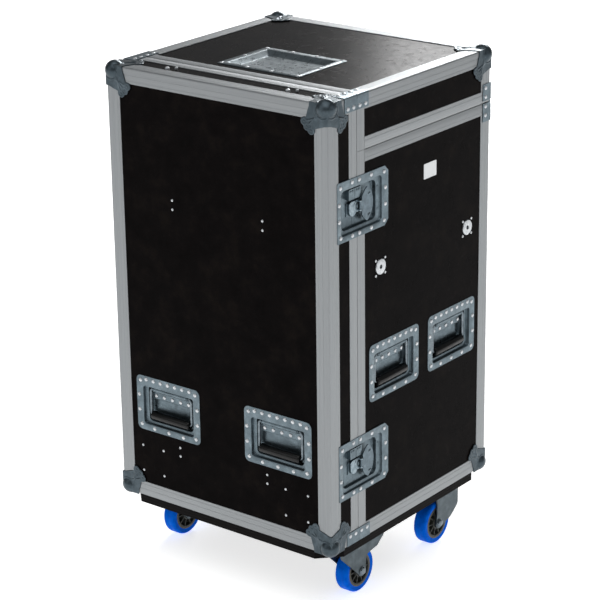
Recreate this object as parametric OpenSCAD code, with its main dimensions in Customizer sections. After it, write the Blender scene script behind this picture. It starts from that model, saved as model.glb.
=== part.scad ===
// Wheeled road case with a lift-off front cover, a rear-hinged top lid, sprung drop handles,
// butterfly latches and swivel castors. Millimetres, +Z up, front cover facing -Y.
// The origin is on the floor, under the middle of the case.

/* [Case] */
// Width over the aluminium edges
case_w = 578; // [540:1:640]
// Depth over the aluminium edges, cover included
case_d = 576; // [560:1:640]
// Height of the boxed part, without castors
case_h = 970; // [950:1:1100]
// Depth of the front cover
cover_depth = 95; // [95:1:110]
// Height of the top lid
lid_height = 117; // [110:1:140]
// Thickness of the laminated plywood
panel_t = 9; // [8:0.5:9]

/* [Aluminium] */
// Width of each leg of an edge angle
angle_leg = 34; // [30:1:34]
// Wall thickness of the extrusions
angle_t = 1.6; // [1.4:0.1:1.8]
// Width of each half of a seam profile
seam_w = 26; // [22:1:26]
// Gap between two closed halves
seam_gap = 0.6; // [0.5:0.1:0.8]
// Diameter of a corner ball
ball_d = 42; // [41:0.5:43]
// How far a corner ball stands proud
ball_proud = 8.5; // [8.2:0.1:8.8]

/* [Handles] */
// Length of a handle dish
dish_w = 178; // [172:1:180]
// Height of a handle dish
dish_h = 127; // [122:1:130]
// Depth of a handle dish
dish_depth = 22; // [22:0.5:24]
// Diameter of a handle's rubber grip
grip_d = 20.4; // [18:0.1:20.4]
// Diameter of a handle's steel wire
wire_d = 7; // [6:0.5:7]

/* [Castors] */
// Wheel diameter
wheel_d = 100; // [95:1:100]
// Wheel width over the tread
wheel_w = 32; // [28:1:34]
// Overall castor height, floor to board
castor_h = 127; // [127:1:132]
// Distance from swivel axis to axle
castor_trail = 37.5; // [36:0.5:40]
// Thickness of the castor board
board_t = 19.5; // [18:0.5:21]

/* [Rack] */
// Height of the rack rails in rack units
rack_units = 10; // [6:1:10]

/* [Hidden] */
$fn = 48;

hw = case_w / 2;
hd = case_d / 2;
zb = castor_h + board_t;             // underside of the boxed part
zt = zb + case_h;                    // top face
seam_y = -hd + cover_depth;          // plane where cover and body meet
lid_z = zt - lid_height;             // plane where lid and body meet
skin = angle_t;                      // panels lie this far under the aluminium
inner = angle_t + panel_t;           // from an outer face to a panel's inner face
half_gap = seam_gap / 2;
ball_in = ball_d / 2 - ball_proud;   // centre of a corner's ball, inwards from each face
rim_x = hw - inner - angle_t - 0.1;  // half the length of a seam across the case
fit = 0.05;                          // radial running clearance of pins and wires
tiny = 0.1;                          // gap that keeps neighbouring boards separate
seam_web = 6;                        // web of a seam profile across the panel's edge
board_in = seam_web + tiny;          // panels start this far from a seam
panel_end = inner + tiny;            // profiles inside the case end this far from an outer face
rim_l = hd - seam_y - seam_w - tiny; // length of the seam along a side of the lid
over = 1;                            // how far a cut runs past a face

// Handles: [face, place along the face, height above the boxed part's underside]
handle_z_front = 224;
handle_z_side = 362.5;
handles = [["front", -150.5, handle_z_front], ["front", 150.5, handle_z_front],
           ["right", -63, handle_z_side], ["right", 150, handle_z_side],
           ["left", -63, handle_z_side], ["left", 150, handle_z_side]];
front_handles = [0, 1];
side_handles = [2:5];
dish_open = [-70.5, -48, 70.5, 39.5];   // recess opening in a handle dish
dish_floor = [-62, -42, 62, 39.5];      // lower level of the recess
dish_step = 9;                          // depth of the ledge between both levels
sheet = 1.4;                            // pressed steel sheet
bail_x = 57.5;                          // half the width of the wire bail
bail_top = 33;                          // hinge height over the dish centre
bail_bottom = -29;                      // grip height under the dish centre
bail_z = -11;                           // depth of the bail under the outer face
knuckle_x = 46;                         // half the length of the bail's hinge tube
strap_x = 52;                           // half the width of the strap that carries it
strap_z = -15.1;                        // depth of the strap's face

// Latches: [face, height]; u runs back from the seam, v runs up from the latch centre
latches = [["right", 739.6], ["right", 174.8], ["left", 739.6], ["left", 174.8]];
latch_front = -67;
latch_back = 106;
latch_hh = 63.5;
latch_open = [-55, -50, 84, 46.5];      // recess opening
latch_floor = [-46, -42, 70, 40];       // recess floor
latch_step = 5;
latch_depth = 14;
latch_axis = [12, -2];                  // rotor axis
wing_hinge = [15, -3];                  // wing pin: u and depth
wing_pin_r = 1.3;

// Castors: the wheels sit inwards of the swivels, front and rear
castor_x = 242.5;
wheel_y = 146.5;
wheel_r = wheel_d / 2;
castors = [[1, -1], [-1, -1], [1, 1], [-1, 1]];
axle_r = 6;
core_r = 36;
cheek_t = 3.5;
cheek_in = wheel_w / 2 + 2;
king_r = 6;
castor_plate_t = 3;
crown_z = castor_h - castor_plate_t - 0.4;
arm_z = crown_z - 3.8;

// Side bosses, badge and the lid's dish
boss_y = [-112.3, 206.4];
boss_z = 590;
boss_r = 16.75;
boss_neck_r = 10;
boss_bore_r = 4.5;
boss_bore_l = 12;
badge = [65, 754, 46, 33];
lid_dish_y = -62;
lid_dish_size = [215, 167];
lid_dish_rim = 16;
lid_dish_slope = 14;
lid_dish_depth = 9;

// Rack rails: hole centres follow the 19-inch standard
rack_unit = 44.45;
rack_hole_x = 465.1 / 2;
rack_hole_r = 3.4;
rack_z = zb + 236;
rack_h = rack_units * rack_unit;
rack_y = seam_y + 26;
rail_t = 2;
batten_x = 243.5;

rivet_r = 4;
rivet_h = 1.8;

// ---- placing helpers: local z points out of the face, local y points up ----
module on_front(x, z) { translate([x, -hd, zb + z]) rotate([90, 0, 0]) children(); }
module on_right(y, z) { translate([hw, y, zb + z]) rotate([90, 0, 90]) children(); }
module on_left(y, z) { mirror([1, 0, 0]) on_right(y, z) children(); }
module on_top(x, y) { translate([x, y, zt]) children(); }
module on_face(face, a, z) {
    if (face == "front") on_front(a, z) children();
    if (face == "right") on_right(a, z) children();
    if (face == "left") on_left(a, z) children();
}
module both_sides() {
    children();
    mirror([1, 0, 0]) children();
}
module at_handles(which) {
    for (i = which) on_face(handles[i][0], handles[i][1], handles[i][2]) children();
}
module at_latches() { for (l = latches) on_face(l[0], seam_y, l[1]) children(); }

// Box between two corners
module block(a, b) { translate(a) cube(b - a); }

// Rectangle [x0, y0, x1, y1] with corner radius r
module rounded(q, r) {
    translate([q[0] + r, q[1]]) square([q[2] - q[0] - 2 * r, q[3] - q[1]]);
    translate([q[0], q[1] + r]) square([q[2] - q[0], q[3] - q[1] - 2 * r]);
    if (r > 0) for (x = [q[0] + r, q[2] - r], y = [q[1] + r, q[3] - r]) translate([x, y]) circle(r);
}
function grow(q, d) = [q[0] - d, q[1] - d, q[2] + d, q[3] + d];

// ---- aluminium profiles ----
// L section with a rounded outer corner at the origin and a shallow groove on each leg
module angle_section() {
    corner_r = 3;
    groove_at = 15;
    difference() {
        square(angle_leg);
        translate([angle_t, angle_t]) square(angle_leg);
        difference() {
            translate([-over, -over]) square(corner_r + over);
            translate([corner_r, corner_r]) circle(corner_r);
        }
        for (s = [0, 1]) mirror([s, -s])
            translate([groove_at, -over]) square([1.4, over + 0.5]);
    }
}
// Edge angle along z, x or y; sx and sy turn the legs into the case
module angle_z(x, y, z0, z1) {
    translate([x, y, z0]) mirror([x > 0 ? 1 : 0, 0, 0]) mirror([0, y > 0 ? 1 : 0, 0])
        linear_extrude(z1 - z0) angle_section();
}
module angle_x(y, z, x0, x1) {
    translate([x0, y, z]) mirror([0, y > 0 ? 1 : 0, 0]) mirror([0, 0, z > zb + 1 ? 1 : 0])
        rotate([90, 0, 90]) linear_extrude(x1 - x0) angle_section();
}
module angle_y(x, z, y0, y1) {
    translate([x, y1, z]) mirror([x > 0 ? 1 : 0, 0, 0]) mirror([0, 0, z > zb + 1 ? 1 : 0])
        rotate([90, 0, 0]) linear_extrude(y1 - y0) angle_section();
}
// Seam half: a flat outer strip and a web across the panel's edge.
// Local x runs away from the seam, y from the outer face inwards.
// tongue 1 adds a tongue, -1 a groove for it, 0 leaves the web plain.
module seam_section(tongue) {
    tongue_l = 3.6;
    difference() {
        union() {
            translate([half_gap, 0]) square([seam_w - half_gap, angle_t]);
            translate([half_gap, 0]) square([seam_web - half_gap, inner + angle_t]);
            if (tongue == 1) translate([-tongue_l, 5]) square([tongue_l + over, 2]);
        }
        if (tongue == -1) translate([-over, 4.4]) square([over + tongue_l + 0.6, 3.2]);
    }
}

// Inner lip of a seam half, behind the panel
module seam_lip() { translate([half_gap, inner]) square([14, angle_t]); }
// Seam half across the case, between the upright ones
module seam_across(tongue) {
    linear_extrude(2 * rim_x) {
        seam_section(tongue);
        seam_lip();
    }
}
// Upright seam half at the cover's seam, its lip between lip0 and lip1
module side_seam(y_dir, z0, z1, lip0, lip1, tongue) {
    both_sides() translate([hw, seam_y, 0]) mirror([0, y_dir > 0 ? 0 : 1]) rotate(90) {
        translate([0, 0, z0]) linear_extrude(z1 - z0) seam_section(tongue);
        translate([0, 0, lip0]) linear_extrude(lip1 - lip0) seam_lip();
    }
}

// ---- pressed and cast hardware ----
module rivet() { cylinder(r = rivet_r, h = rivet_h); }

// Leaf of a corner piece on one face: it saddles both edges and ends in three lobes
module leaf(t) {
    lobe_r = 9;
    saddle = [[44, -t], [45.5, 8], [49, 18], [52.8, 30.6], [57, 31.4]];
    linear_extrude(t) {
        for (p = [[57, 40], [50, 50], [40, 57]]) translate(p) circle(lobe_r);
        polygon(concat([[-t, -t]], saddle, [[60, 48], [48, 60]],
                       [for (i = [4:-1:0]) [saddle[i][1], saddle[i][0]]]));
    }
}
// Corner piece at a lower front left corner: the ball in place of the box's own corner, and the
// leaves that lie on the case's faces, hollowed where the case is; floor_leaf adds the third leaf
module corner(floor_leaf) {
    r = ball_d / 2;
    t = 1.6;
    deep = 60;
    difference() {
        union() {
            difference() {
                union() {
                    rotate([90, 0, 0]) leaf(t);
                    rotate([90, 0, 90]) translate([0, 0, -t]) leaf(t);
                    if (floor_leaf) translate([0, 0, -t]) leaf(t);
                }
                translate([-2 * t, -2 * t, -2 * t]) cube(ball_in + 2 * t);
            }
            translate([ball_in, ball_in, ball_in]) sphere(r);
        }
        difference() {
            cube(deep);
            translate([-over, -over, -over]) cube(ball_in + over);
        }
    }
}
// Room for the balls at the corners on one face, at both sides and at each height
module ball_rooms(y, heights) {
    room = ball_in + tiny;
    for (x = [-hw, hw], z = heights)
        translate([x, y, z]) cube(2 * room, center = true);
}
// Square of sheet in the corner of a face, under the corner piece
module corner_sheet(x, y, z, along) {
    a = [angle_leg, angle_leg, angle_leg];
    size = [along == "x" ? angle_t : a[0], along == "y" ? angle_t : a[1], along == "z" ? angle_t : a[2]];
    translate([x, y, z]) mirror([x > 0 ? 1 : 0, 0, 0]) mirror([0, y > 0 ? 1 : 0, 0])
        mirror([0, 0, z > zb + 1 ? 1 : 0]) cube(size);
}
module corner_at(x, y, z, floor_leaf) {
    translate([x, y, z]) mirror([x > 0 ? 1 : 0, 0, 0]) mirror([0, y > 0 ? 1 : 0, 0])
        mirror([0, 0, z > zb + 1 ? 1 : 0]) corner(floor_leaf);
}

// Pressed dish: flange, two-level pan
module pan(open_q, floor_q, step, depth, r, z0) {
    difference() {
        union() {
            translate([0, 0, -step - sheet]) linear_extrude(step + sheet + z0)
                rounded(grow(open_q, sheet), r + sheet);
            translate([0, 0, -depth - sheet]) linear_extrude(depth - step)
                rounded(grow(floor_q, sheet), r + sheet);
        }
        translate([0, 0, -step]) linear_extrude(step + z0 + over) rounded(open_q, r);
        translate([0, 0, -depth]) linear_extrude(depth) rounded(floor_q, r);
    }
}
module handle_dish() {
    difference() {
        translate([0, 0, -skin]) linear_extrude(sheet)
            rounded([-dish_w / 2, -dish_h / 2, dish_w / 2, dish_h / 2], 12);
        translate([0, 0, -skin - over]) linear_extrude(sheet + 2 * over) rounded(dish_open, 6);
    }
    pan(dish_open, dish_floor, dish_step, dish_depth, 6, sheet - skin);
    // hinge tube for the bail, on a strap from the back wall
    difference() {
        union() {
            translate([-knuckle_x, bail_top, bail_z]) rotate([0, 90, 0])
                cylinder(r = wire_d / 2 + 2.4, h = 2 * knuckle_x);
            block([-strap_x, bail_top - 26, -dish_depth - 0.2], [strap_x, bail_top + 4, strap_z]);
            block([-knuckle_x, bail_top - 3, -dish_depth], [knuckle_x, bail_top + 3, bail_z - 4]);
        }
        translate([-knuckle_x - over, bail_top, bail_z]) rotate([0, 90, 0])
            cylinder(r = wire_d / 2 + fit, h = 2 * (knuckle_x + over));
    }
}
module handle_cut() {
    translate([0, 0, -dish_depth - 6]) linear_extrude(dish_depth + 6 + over)
        rounded(grow(dish_open, sheet + 0.3), 0);
}
module handle_rivets() {
    translate([0, 0, sheet - skin]) {
        for (x = [-77, 77]) {
            translate([x, 51.5, 0]) rivet();
            translate([x, -51, 0]) rivet();
        }
        for (x = [-61:20.3:62]) translate([x, 55.7, 0]) rivet();
        for (x = [-82, 82], y = [-17.5, 17.5]) translate([x, y, 0]) rivet();
        for (x = [-41, 0, 41]) translate([x, -55.8, 0]) rivet();
    }
    for (x = [-46:23:46]) translate([x, bail_top - 16.5, strap_z]) rivet();
}
module bail() color("#9aa0a3") {
    r = wire_d / 2;
    for (y = [bail_top, bail_bottom]) translate([-bail_x, y, bail_z]) rotate([0, 90, 0])
        cylinder(r = r, h = 2 * bail_x);
    for (x = [-bail_x, bail_x]) {
        translate([x, bail_top, bail_z]) rotate([90, 0, 0]) cylinder(r = r, h = bail_top - bail_bottom);
        for (y = [bail_top, bail_bottom]) translate([x, y, bail_z]) sphere(r);
    }
}
module grip() {
    half_l = bail_x - wire_d / 2 - 0.5;
    r = grip_d / 2;
    color("#0c0c0d") translate([0, bail_bottom, bail_z]) rotate([0, 90, 0]) difference() {
        union() {
            translate([0, 0, -half_l + 2]) cylinder(r = r, h = 2 * half_l - 4);
            translate([0, 0, -half_l]) cylinder(r = r - 2, h = 2 * half_l);
        }
        translate([0, 0, -half_l - over]) cylinder(r = wire_d / 2, h = 2 * (half_l + over));
    }
}

// Latch outline with clipped rear corners
module latch_outline() {
    c = 12;
    polygon([[latch_front, -latch_hh], [latch_back - c, -latch_hh], [latch_back, -latch_hh + c],
             [latch_back, latch_hh - c], [latch_back - c, latch_hh], [latch_front, latch_hh]]);
}
module latch_dish() {
    difference() {
        translate([0, 0, -skin]) linear_extrude(skin + 1.2) latch_outline();
        // the flange lies on the aluminium and reaches down to the panels beside it
        block([-seam_w - 0.2, -latch_hh - over, -skin - over], [seam_w + 0.2, latch_hh + over, 0]);
        block([latch_front - over, -latch_hh - over, -skin - over],
              [angle_leg + 0.2 - cover_depth, latch_hh + over, 0]);
        translate([0, 0, -skin - over]) linear_extrude(6) rounded(latch_open, 5);
    }
    pan(latch_open, latch_floor, latch_step, latch_depth, 5, 1.2);
}
module latch_cut() {
    translate([0, 0, -latch_depth - 5]) linear_extrude(latch_depth + 5 + over)
        rounded(grow(latch_open, sheet + 0.3), 0);
}
// Side of the seam that belongs to the body (1) or to the cover (-1)
module latch_side(s) {
    intersection() {
        children();
        block([s > 0 ? half_gap : latch_front - 5, -100, -50], [s > 0 ? latch_back + 5 : -half_gap, 100, 20]);
    }
}
module latch_body_half() {
    latch_side(1) latch_dish();
    // guide block beside the seam and the rotor's pivot
    block([0.5, 16, -latch_depth - 0.2], [21, 38, -5.5]);
    translate([latch_axis[0], latch_axis[1], -latch_depth - 0.2]) {
        cylinder(r = 4, h = latch_depth + 0.2 - 6.2);
        translate([0, 0, latch_depth + 0.2 - 6.9]) cylinder(r = 5.5, h = 1);
    }
}
module latch_cover_half() {
    latch_side(-1) latch_dish();
    block([-20, 16, -latch_depth - 0.2], [-0.5, 38, -5.5]);
    block([-20, -20, -latch_depth - 0.2], [-1.8, 8, -12.2]);
}
module latch_rotor() {
    color("#7d878c") difference() {
        union() {
            translate([latch_axis[0], latch_axis[1], -latch_depth + 0.3]) cylinder(r = 13, h = 6.4);
            // hook plate that reaches over the keeper on the cover's half
            translate([0, 0, -11.4]) linear_extrude(3.4) {
                translate([-3, -9]) circle(12);
                polygon([[-15, -9], [-15, 6], [-9, 10], [8, 10], [12, -12], [9, -9]]);
            }
            for (s = [-1, 1]) translate([wing_hinge[0], latch_axis[1] + s * 9.5, 0]) {
                translate([-3, -1.5, -8]) cube([6, 3, 8 + wing_hinge[1]]);
                translate([0, 1.5, wing_hinge[1]]) rotate([90, 0, 0]) cylinder(r = 3, h = 3);
            }
            translate([wing_hinge[0], latch_axis[1] + 11, wing_hinge[1]]) rotate([90, 0, 0])
                cylinder(r = wing_pin_r, h = 22);
        }
        translate([latch_axis[0], latch_axis[1], -latch_depth]) cylinder(r = 4 + fit, h = 7.5);
        translate([latch_axis[0], latch_axis[1], -6.95]) cylinder(r = 6, h = 1.2);
    }
}
module latch_wing() {
    z = wing_hinge[1];
    color("#47545b") difference() {
        union() {
            translate([0, 0, z - 1.2]) linear_extrude(2.4) {
                difference() {
                    intersection() {
                        translate([55, -3]) circle(40, $fn = 96);
                        translate(latch_axis) circle(45, $fn = 96);
                        translate([wing_hinge[0] + 4.6, -60]) square([60, 120]);
                    }
                    for (p = [[40.5, 19], [40.5, -25]]) translate(p) circle(3);
                }
                translate([wing_hinge[0], latch_axis[1] - 7.6]) square([6, 15.2]);
            }
            translate([wing_hinge[0], latch_axis[1] + 7.6, z]) rotate([90, 0, 0])
                cylinder(r = 2.5, h = 15.2);
        }
        translate([wing_hinge[0], latch_axis[1] + 9, z]) rotate([90, 0, 0])
            cylinder(r = wing_pin_r + fit, h = 18);
    }
}
module latch_rivets(s) {
    translate([0, 0, 1.2]) {
        if (s > 0) {
            for (v = [-56, 56], u = [6.4, 47]) translate([u, v, 0]) rivet();
            for (v = [-51.8, 51.8]) translate([91.2, v, 0]) rivet();
            for (v = [-17.5, 17.5]) translate([95.6, v, 0]) rivet();
        } else {
            for (v = [-56, 56]) translate([-17.5, v, 0]) rivet();
            for (v = [-52, 52]) translate([-56.5, v, 0]) rivet();
            for (v = [-17.2, 17.2]) translate([-61, v, 0]) rivet();
        }
    }
}

// ---- body ----
module body_panels() {
    y0 = seam_y + board_in;
    z0 = zb + inner + tiny;
    z1 = lid_z - board_in;
    color("#161415") difference() {
        union() {
            both_sides() block([hw - inner, y0, z0], [hw - skin, hd - inner - tiny, z1]);
            block([-hw + skin, hd - inner, z0], [hw - skin, hd - skin, z1]);
            block([-hw + skin, y0, zb + skin], [hw - skin, hd - skin, zb + inner]);
        }
        at_handles(side_handles) handle_cut();
        at_latches() latch_cut();
        both_sides() for (y = boss_y) on_right(y, boss_z) translate([0, 0, -inner - over])
            cylinder(r = boss_neck_r + 0.3, h = inner + 2 * over);
        ball_rooms(hd, [zb]);
    }
}
module body_extrusions() {
    color("#8f9394") difference() {
        union() {
            for (x = [-hw, hw]) corner_sheet(x, hd, zb, "y");
            both_sides() angle_y(hw, zb, seam_y + seam_w + tiny, hd);
            angle_x(hd, zb, -hw + angle_leg + tiny, hw - angle_leg - tiny);
            both_sides() angle_z(hw, hd, zb + angle_leg + tiny, lid_z - seam_w - tiny);
            side_seam(1, zb, lid_z - half_gap, zb + panel_end, lid_z - half_gap, -1);
            // sill across the bottom of the front opening
            translate([-rim_x, seam_y, zb]) rotate([90, 0, 90]) seam_across(-1);
            // rim round the top opening
            both_sides() translate([hw, hd, lid_z]) rotate([90, 0, 0]) mirror([1, 0]) rotate(-90) {
                linear_extrude(rim_l) seam_section(-1);
                translate([0, 0, panel_end]) linear_extrude(rim_l - panel_end) seam_lip();
            }
            translate([-rim_x, hd, lid_z]) rotate([90, 0, 90]) mirror([1, 0]) rotate(-90) seam_across(0);
        }
        at_latches() latch_cut();
        hinge_relief();
        ball_rooms(hd, [zb]);
    }
}
module body_corners() {
    color("#4a555b") for (x = [-hw, hw]) corner_at(x, hd, zb, false);
}
// The lid turns on two short hinges at the rear corners, barrels half let into the seam
hinge_y = 0.2;
hinge_r = 4.2;
hinge_pin_r = 2;
hinge_l = 46;
module hinge_relief() {
    both_sides() translate([hw - hinge_l - 0.5, hd + hinge_y, lid_z]) rotate([0, 90, 0])
        cylinder(r = hinge_r + 0.5, h = hinge_l + 5);
}
// Wrap-round hinge plates with their knuckles; side 1 is the lid's, -1 the body's
module hinge_pair(side) {
    t = 1.5;
    reach = 41.5;
    side_from = side > 0 ? 4.8 : 0.6;
    barrel_from = hinge_r + 1.2;
    link = 6;
    knuckles = side > 0 ? [[-45.5, 11], [-12.5, 11]] : [[-34, 21]];
    both_sides() translate([hw, hd, lid_z]) mirror([0, 0, side > 0 ? 0 : 1]) {
        block([0, -28.5, side_from], [t, 0, reach]);
        block([-hinge_l, 0, barrel_from], [t, t, reach]);
        difference() {
            for (k = knuckles) {
                translate([k[0], hinge_y, 0]) rotate([0, 90, 0]) cylinder(r = hinge_r, h = k[1]);
                block([k[0], hinge_y, 0], [k[0] + k[1], t, link]);
            }
            if (side > 0) translate([-hinge_l - over, hinge_y, 0]) rotate([0, 90, 0])
                cylinder(r = hinge_pin_r + fit, h = hinge_l + 2 * over);
        }
        if (side < 0) translate([-hinge_l + 1, hinge_y, 0]) rotate([0, 90, 0])
            cylinder(r = hinge_pin_r, h = hinge_l - 3);
    }
}
module brace(y0, y1, top) {
    // angle plate over the case's long edge, one side of the cover seam
    t = 1.5;
    leg = 30;
    both_sides() translate([hw, 0, top ? zt : zb]) mirror([0, 0, top ? 1 : 0]) {
        block([0, y0, top ? 0 : 1], [t, y1, leg]);
        if (top) block([-leg, y0, -t], [t, y1, 0]);
    }
}
module brace_rivets(ys, top) {
    for (y = ys) {
        both_sides() on_right(y, top ? case_h - 22 : 22) translate([0, 0, 1.5]) rivet();
        if (top) both_sides() on_top(hw - 22, y) translate([0, 0, 1.5]) rivet();
    }
}
module body_braces() {
    color("#46525a") {
        brace(seam_y + half_gap, seam_y + 39, false);
        hinge_pair(-1);
    }
}
module castor_board() {
    c = 44;
    inset = 3;
    bx = hw - inset;
    by = hd - inset;
    color("#141213") translate([0, 0, castor_h]) linear_extrude(board_t)
        polygon([[-bx, -by + c], [-bx + c, -by], [bx - c, -by], [bx, -by + c],
                 [bx, by - c], [bx - c, by], [-bx + c, by], [-bx, by - c]]);
}
module castor_plates() {
    color("#4c565b") for (c = castors)
        translate([c[0] * castor_x, c[1] * (wheel_y + castor_trail), 0]) {
            translate([-40, -52.5, castor_h - castor_plate_t]) cube([80, 105, castor_plate_t]);
            translate([0, 0, crown_z - 14]) cylinder(r = king_r, h = 14.5);
            translate([0, 0, crown_z - 14 - 2]) cylinder(r = king_r + 3, h = 3.6);
            for (x = [-30, 30], y = [-40, 40]) translate([x, y, castor_h - castor_plate_t - 2.6])
                cylinder(r = 6.5, h = 2.7, $fn = 6);
        }
}
module side_handle_dishes() {
    color("#47545b") at_handles(side_handles) handle_dish();
}
module latch_dishes() { color("#47545b") at_latches() latch_body_half(); }
module body_rivets() {
    color("#b5b8bb") {
        at_handles(side_handles) handle_rivets();
        at_latches() latch_rivets(1);
        brace_rivets([seam_y + 9.1, seam_y + 28.4], false);
        both_sides() for (z = [lid_z - zb - 7.5, lid_z - zb - 27]) on_right(hd - 19, z)
            translate([0, 0, 1.5]) rivet();
        both_sides() for (y = boss_y, a = [-16.3, 16.3], b = [-16.3, 16.3])
            on_right(y + a, boss_z + b) translate([0, 0, -skin]) cylinder(r = 3, h = 1.8);
    }
}
module side_bosses() {
    color("#c4c6c7") both_sides() for (y = boss_y) on_right(y, boss_z) difference() {
        union() {
            translate([0, 0, -skin]) cylinder(r = boss_r, h = 3);
            translate([0, 0, -inner - 4]) cylinder(r = boss_neck_r, h = panel_t + 5);
        }
        translate([0, 0, -skin + 3 - boss_bore_l]) cylinder(r = boss_bore_r, h = boss_bore_l + over);
    }
}
module badge_plate() {
    color("#c9cccd") on_right(badge[0], badge[1]) translate([0, 0, -skin]) linear_extrude(1.2)
        rounded([-badge[2] / 2, -badge[3] / 2, badge[2] / 2, badge[3] / 2], 2);
}
module rack_battens() {
    color("#a58a62") both_sides()
        block([batten_x, rack_y + rail_t, rack_z], [hw - inner - tiny, rack_y + 30, rack_z + rack_h]);
}
module rack_rails() {
    color("#3a3d3f") both_sides() difference() {
        union() {
            block([222, rack_y, rack_z], [hw - inner - tiny, rack_y + rail_t, rack_z + rack_h]);
            block([batten_x - rail_t, rack_y, rack_z], [batten_x, rack_y + 28, rack_z + rack_h]);
        }
        for (u = [0:rack_units - 1], dz = [6.35, 38.1])
            translate([rack_hole_x, rack_y - over, rack_z + u * rack_unit + dz])
                rotate([-90, 0, 0]) cylinder(r = rack_hole_r, h = rail_t + 2 * over);
    }
}

// ---- front cover ----
module cover_panels() {
    y1 = seam_y - board_in;
    y0 = -hd + inner + tiny;
    color("#161415") difference() {
        union() {
            block([-hw + skin, -hd + skin, zb + skin], [hw - skin, -hd + inner, zt - skin]);
            both_sides() block([hw - inner, y0, zb + inner + tiny], [hw - skin, y1, zt - inner - tiny]);
            block([-hw + skin, y0, zb + skin], [hw - skin, y1, zb + inner]);
            block([-hw + skin, y0, zt - inner], [hw - skin, y1, zt - skin]);
        }
        at_handles(front_handles) handle_cut();
        at_latches() latch_cut();
        ball_rooms(-hd, [zb, zt]);
    }
}
module cover_extrusions() {
    color("#8f9394") difference() {
        union() {
            both_sides() angle_z(hw, -hd, zb, zt);
            for (x = [-hw, hw], z = [zb, zt]) corner_sheet(x, -hd, z, "z");
            for (z = [zb, zt]) angle_x(-hd, z, -hw + angle_leg + tiny, hw - angle_leg - tiny);
            for (z = [zb, zt]) both_sides() angle_y(hw, z, -hd + angle_leg + tiny, seam_y - seam_w - tiny);
            side_seam(-1, zb, zt, zb + panel_end, zt - panel_end, 1);
            for (m = [0, 1]) translate([-rim_x, seam_y, m > 0 ? zt : zb]) mirror([0, 0, m])
                rotate([90, 0, 90]) mirror([1, 0]) seam_across(m > 0 ? 0 : 1);
        }
        at_latches() latch_cut();
        ball_rooms(-hd, [zb, zt]);
    }
}
module cover_corners() {
    color("#4a555b") for (x = [-hw, hw], z = [zb, zt]) corner_at(x, -hd, z, z > zb);
}
module cover_braces() {
    color("#46525a") for (top = [false, true]) brace(seam_y - 41, seam_y - half_gap, top);
}
module front_handle_dishes() {
    color("#47545b") at_handles(front_handles) handle_dish();
}
module latch_keepers() { color("#47545b") at_latches() latch_cover_half(); }
module cover_fixings() {
    color("#b5b8bb") {
        at_handles(front_handles) handle_rivets();
        at_latches() latch_rivets(-1);
        for (top = [false, true]) brace_rivets([seam_y - 30.6, seam_y - 11.7], top);
        for (m = [-1, 1]) {
            for (x = [169, 228], z = [61.5, 121.4]) on_front(m * x, z)
                translate([0, 0, -skin]) cylinder(r = 3, h = 1.6);
            for (z = [121.3, 141.4, 682.5, 702.4]) on_front(m * 120.2, z)
                translate([0, 0, -skin]) cylinder(r = 3, h = 1.6);
            // locating pins on the cover's top
            on_top(m * 158, seam_y - 52) translate([0, 0, -skin]) cylinder(r = 5, h = 5.5);
            on_top(m * 158 + 14.5, seam_y - 40) translate([0, 0, -skin]) cylinder(r = 3.5, h = 4.5);
        }
    }
}

// ---- top lid ----
module lid_panels() {
    pan_gap = 2 * (sheet + 0.3 - lid_dish_rim);
    cut = [lid_dish_size[0] + pan_gap, lid_dish_size[1] + pan_gap];
    y0 = seam_y + board_in;
    z0 = lid_z + board_in;
    z1 = zt - inner - tiny;
    color("#161415") difference() {
        union() {
            block([-hw + skin, y0, zt - inner], [hw - skin, hd - skin, zt - skin]);
            both_sides() block([hw - inner, y0, z0], [hw - skin, hd - inner - tiny, z1]);
            block([-hw + skin, hd - inner, z0], [hw - skin, hd - skin, z1]);
        }
        on_top(0, lid_dish_y) translate([0, 0, -inner - over]) linear_extrude(inner + 2 * over)
            square(cut, center = true);
        ball_rooms(hd, [zt]);
    }
}
module lid_extrusions() {
    color("#8f9394") difference() {
        union() {
        for (x = [-hw, hw]) corner_sheet(x, hd, zt, "y");
        both_sides() angle_y(hw, zt, seam_y + seam_w + tiny, hd);
        angle_x(hd, zt, -hw + angle_leg + tiny, hw - angle_leg - tiny);
        both_sides() angle_z(hw, hd, lid_z + seam_w + tiny, zt - angle_leg - tiny);
        side_seam(1, lid_z + half_gap, zt, lid_z + half_gap, zt - panel_end, -1);
        translate([-rim_x, seam_y, zt]) mirror([0, 0, 1]) rotate([90, 0, 90]) seam_across(0);
        // rim that meets the body
        both_sides() translate([hw, hd, lid_z]) rotate([90, 0, 0]) rotate(90) {
            linear_extrude(rim_l) seam_section(1);
            translate([0, 0, panel_end]) linear_extrude(rim_l - panel_end) seam_lip();
        }
        translate([-rim_x, hd, lid_z]) rotate([90, 0, 90]) rotate(90) seam_across(0);
        }
        hinge_relief();
        ball_rooms(hd, [zt]);
    }
}
module lid_corners() {
    color("#4a555b") for (x = [-hw, hw]) corner_at(x, hd, zt, true);
}
module lid_braces() {
    color("#46525a") {
        brace(seam_y + half_gap, seam_y + 39, true);
        hinge_pair(1);
    }
}
module lid_dish() {
    w = lid_dish_size[0] / 2;
    d = lid_dish_size[1] / 2;
    open_q = grow([-w, -d, w, d], -lid_dish_rim);
    color("#6f767a") on_top(0, lid_dish_y) {
        difference() {
            translate([0, 0, -skin]) linear_extrude(sheet) rounded([-w, -d, w, d], 2);
            translate([0, 0, -skin - over]) linear_extrude(5) rounded(open_q, 3);
        }
        pan(open_q, grow(open_q, -lid_dish_slope), lid_dish_depth / 2, lid_dish_depth, 3, sheet - skin);
    }
}
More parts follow.
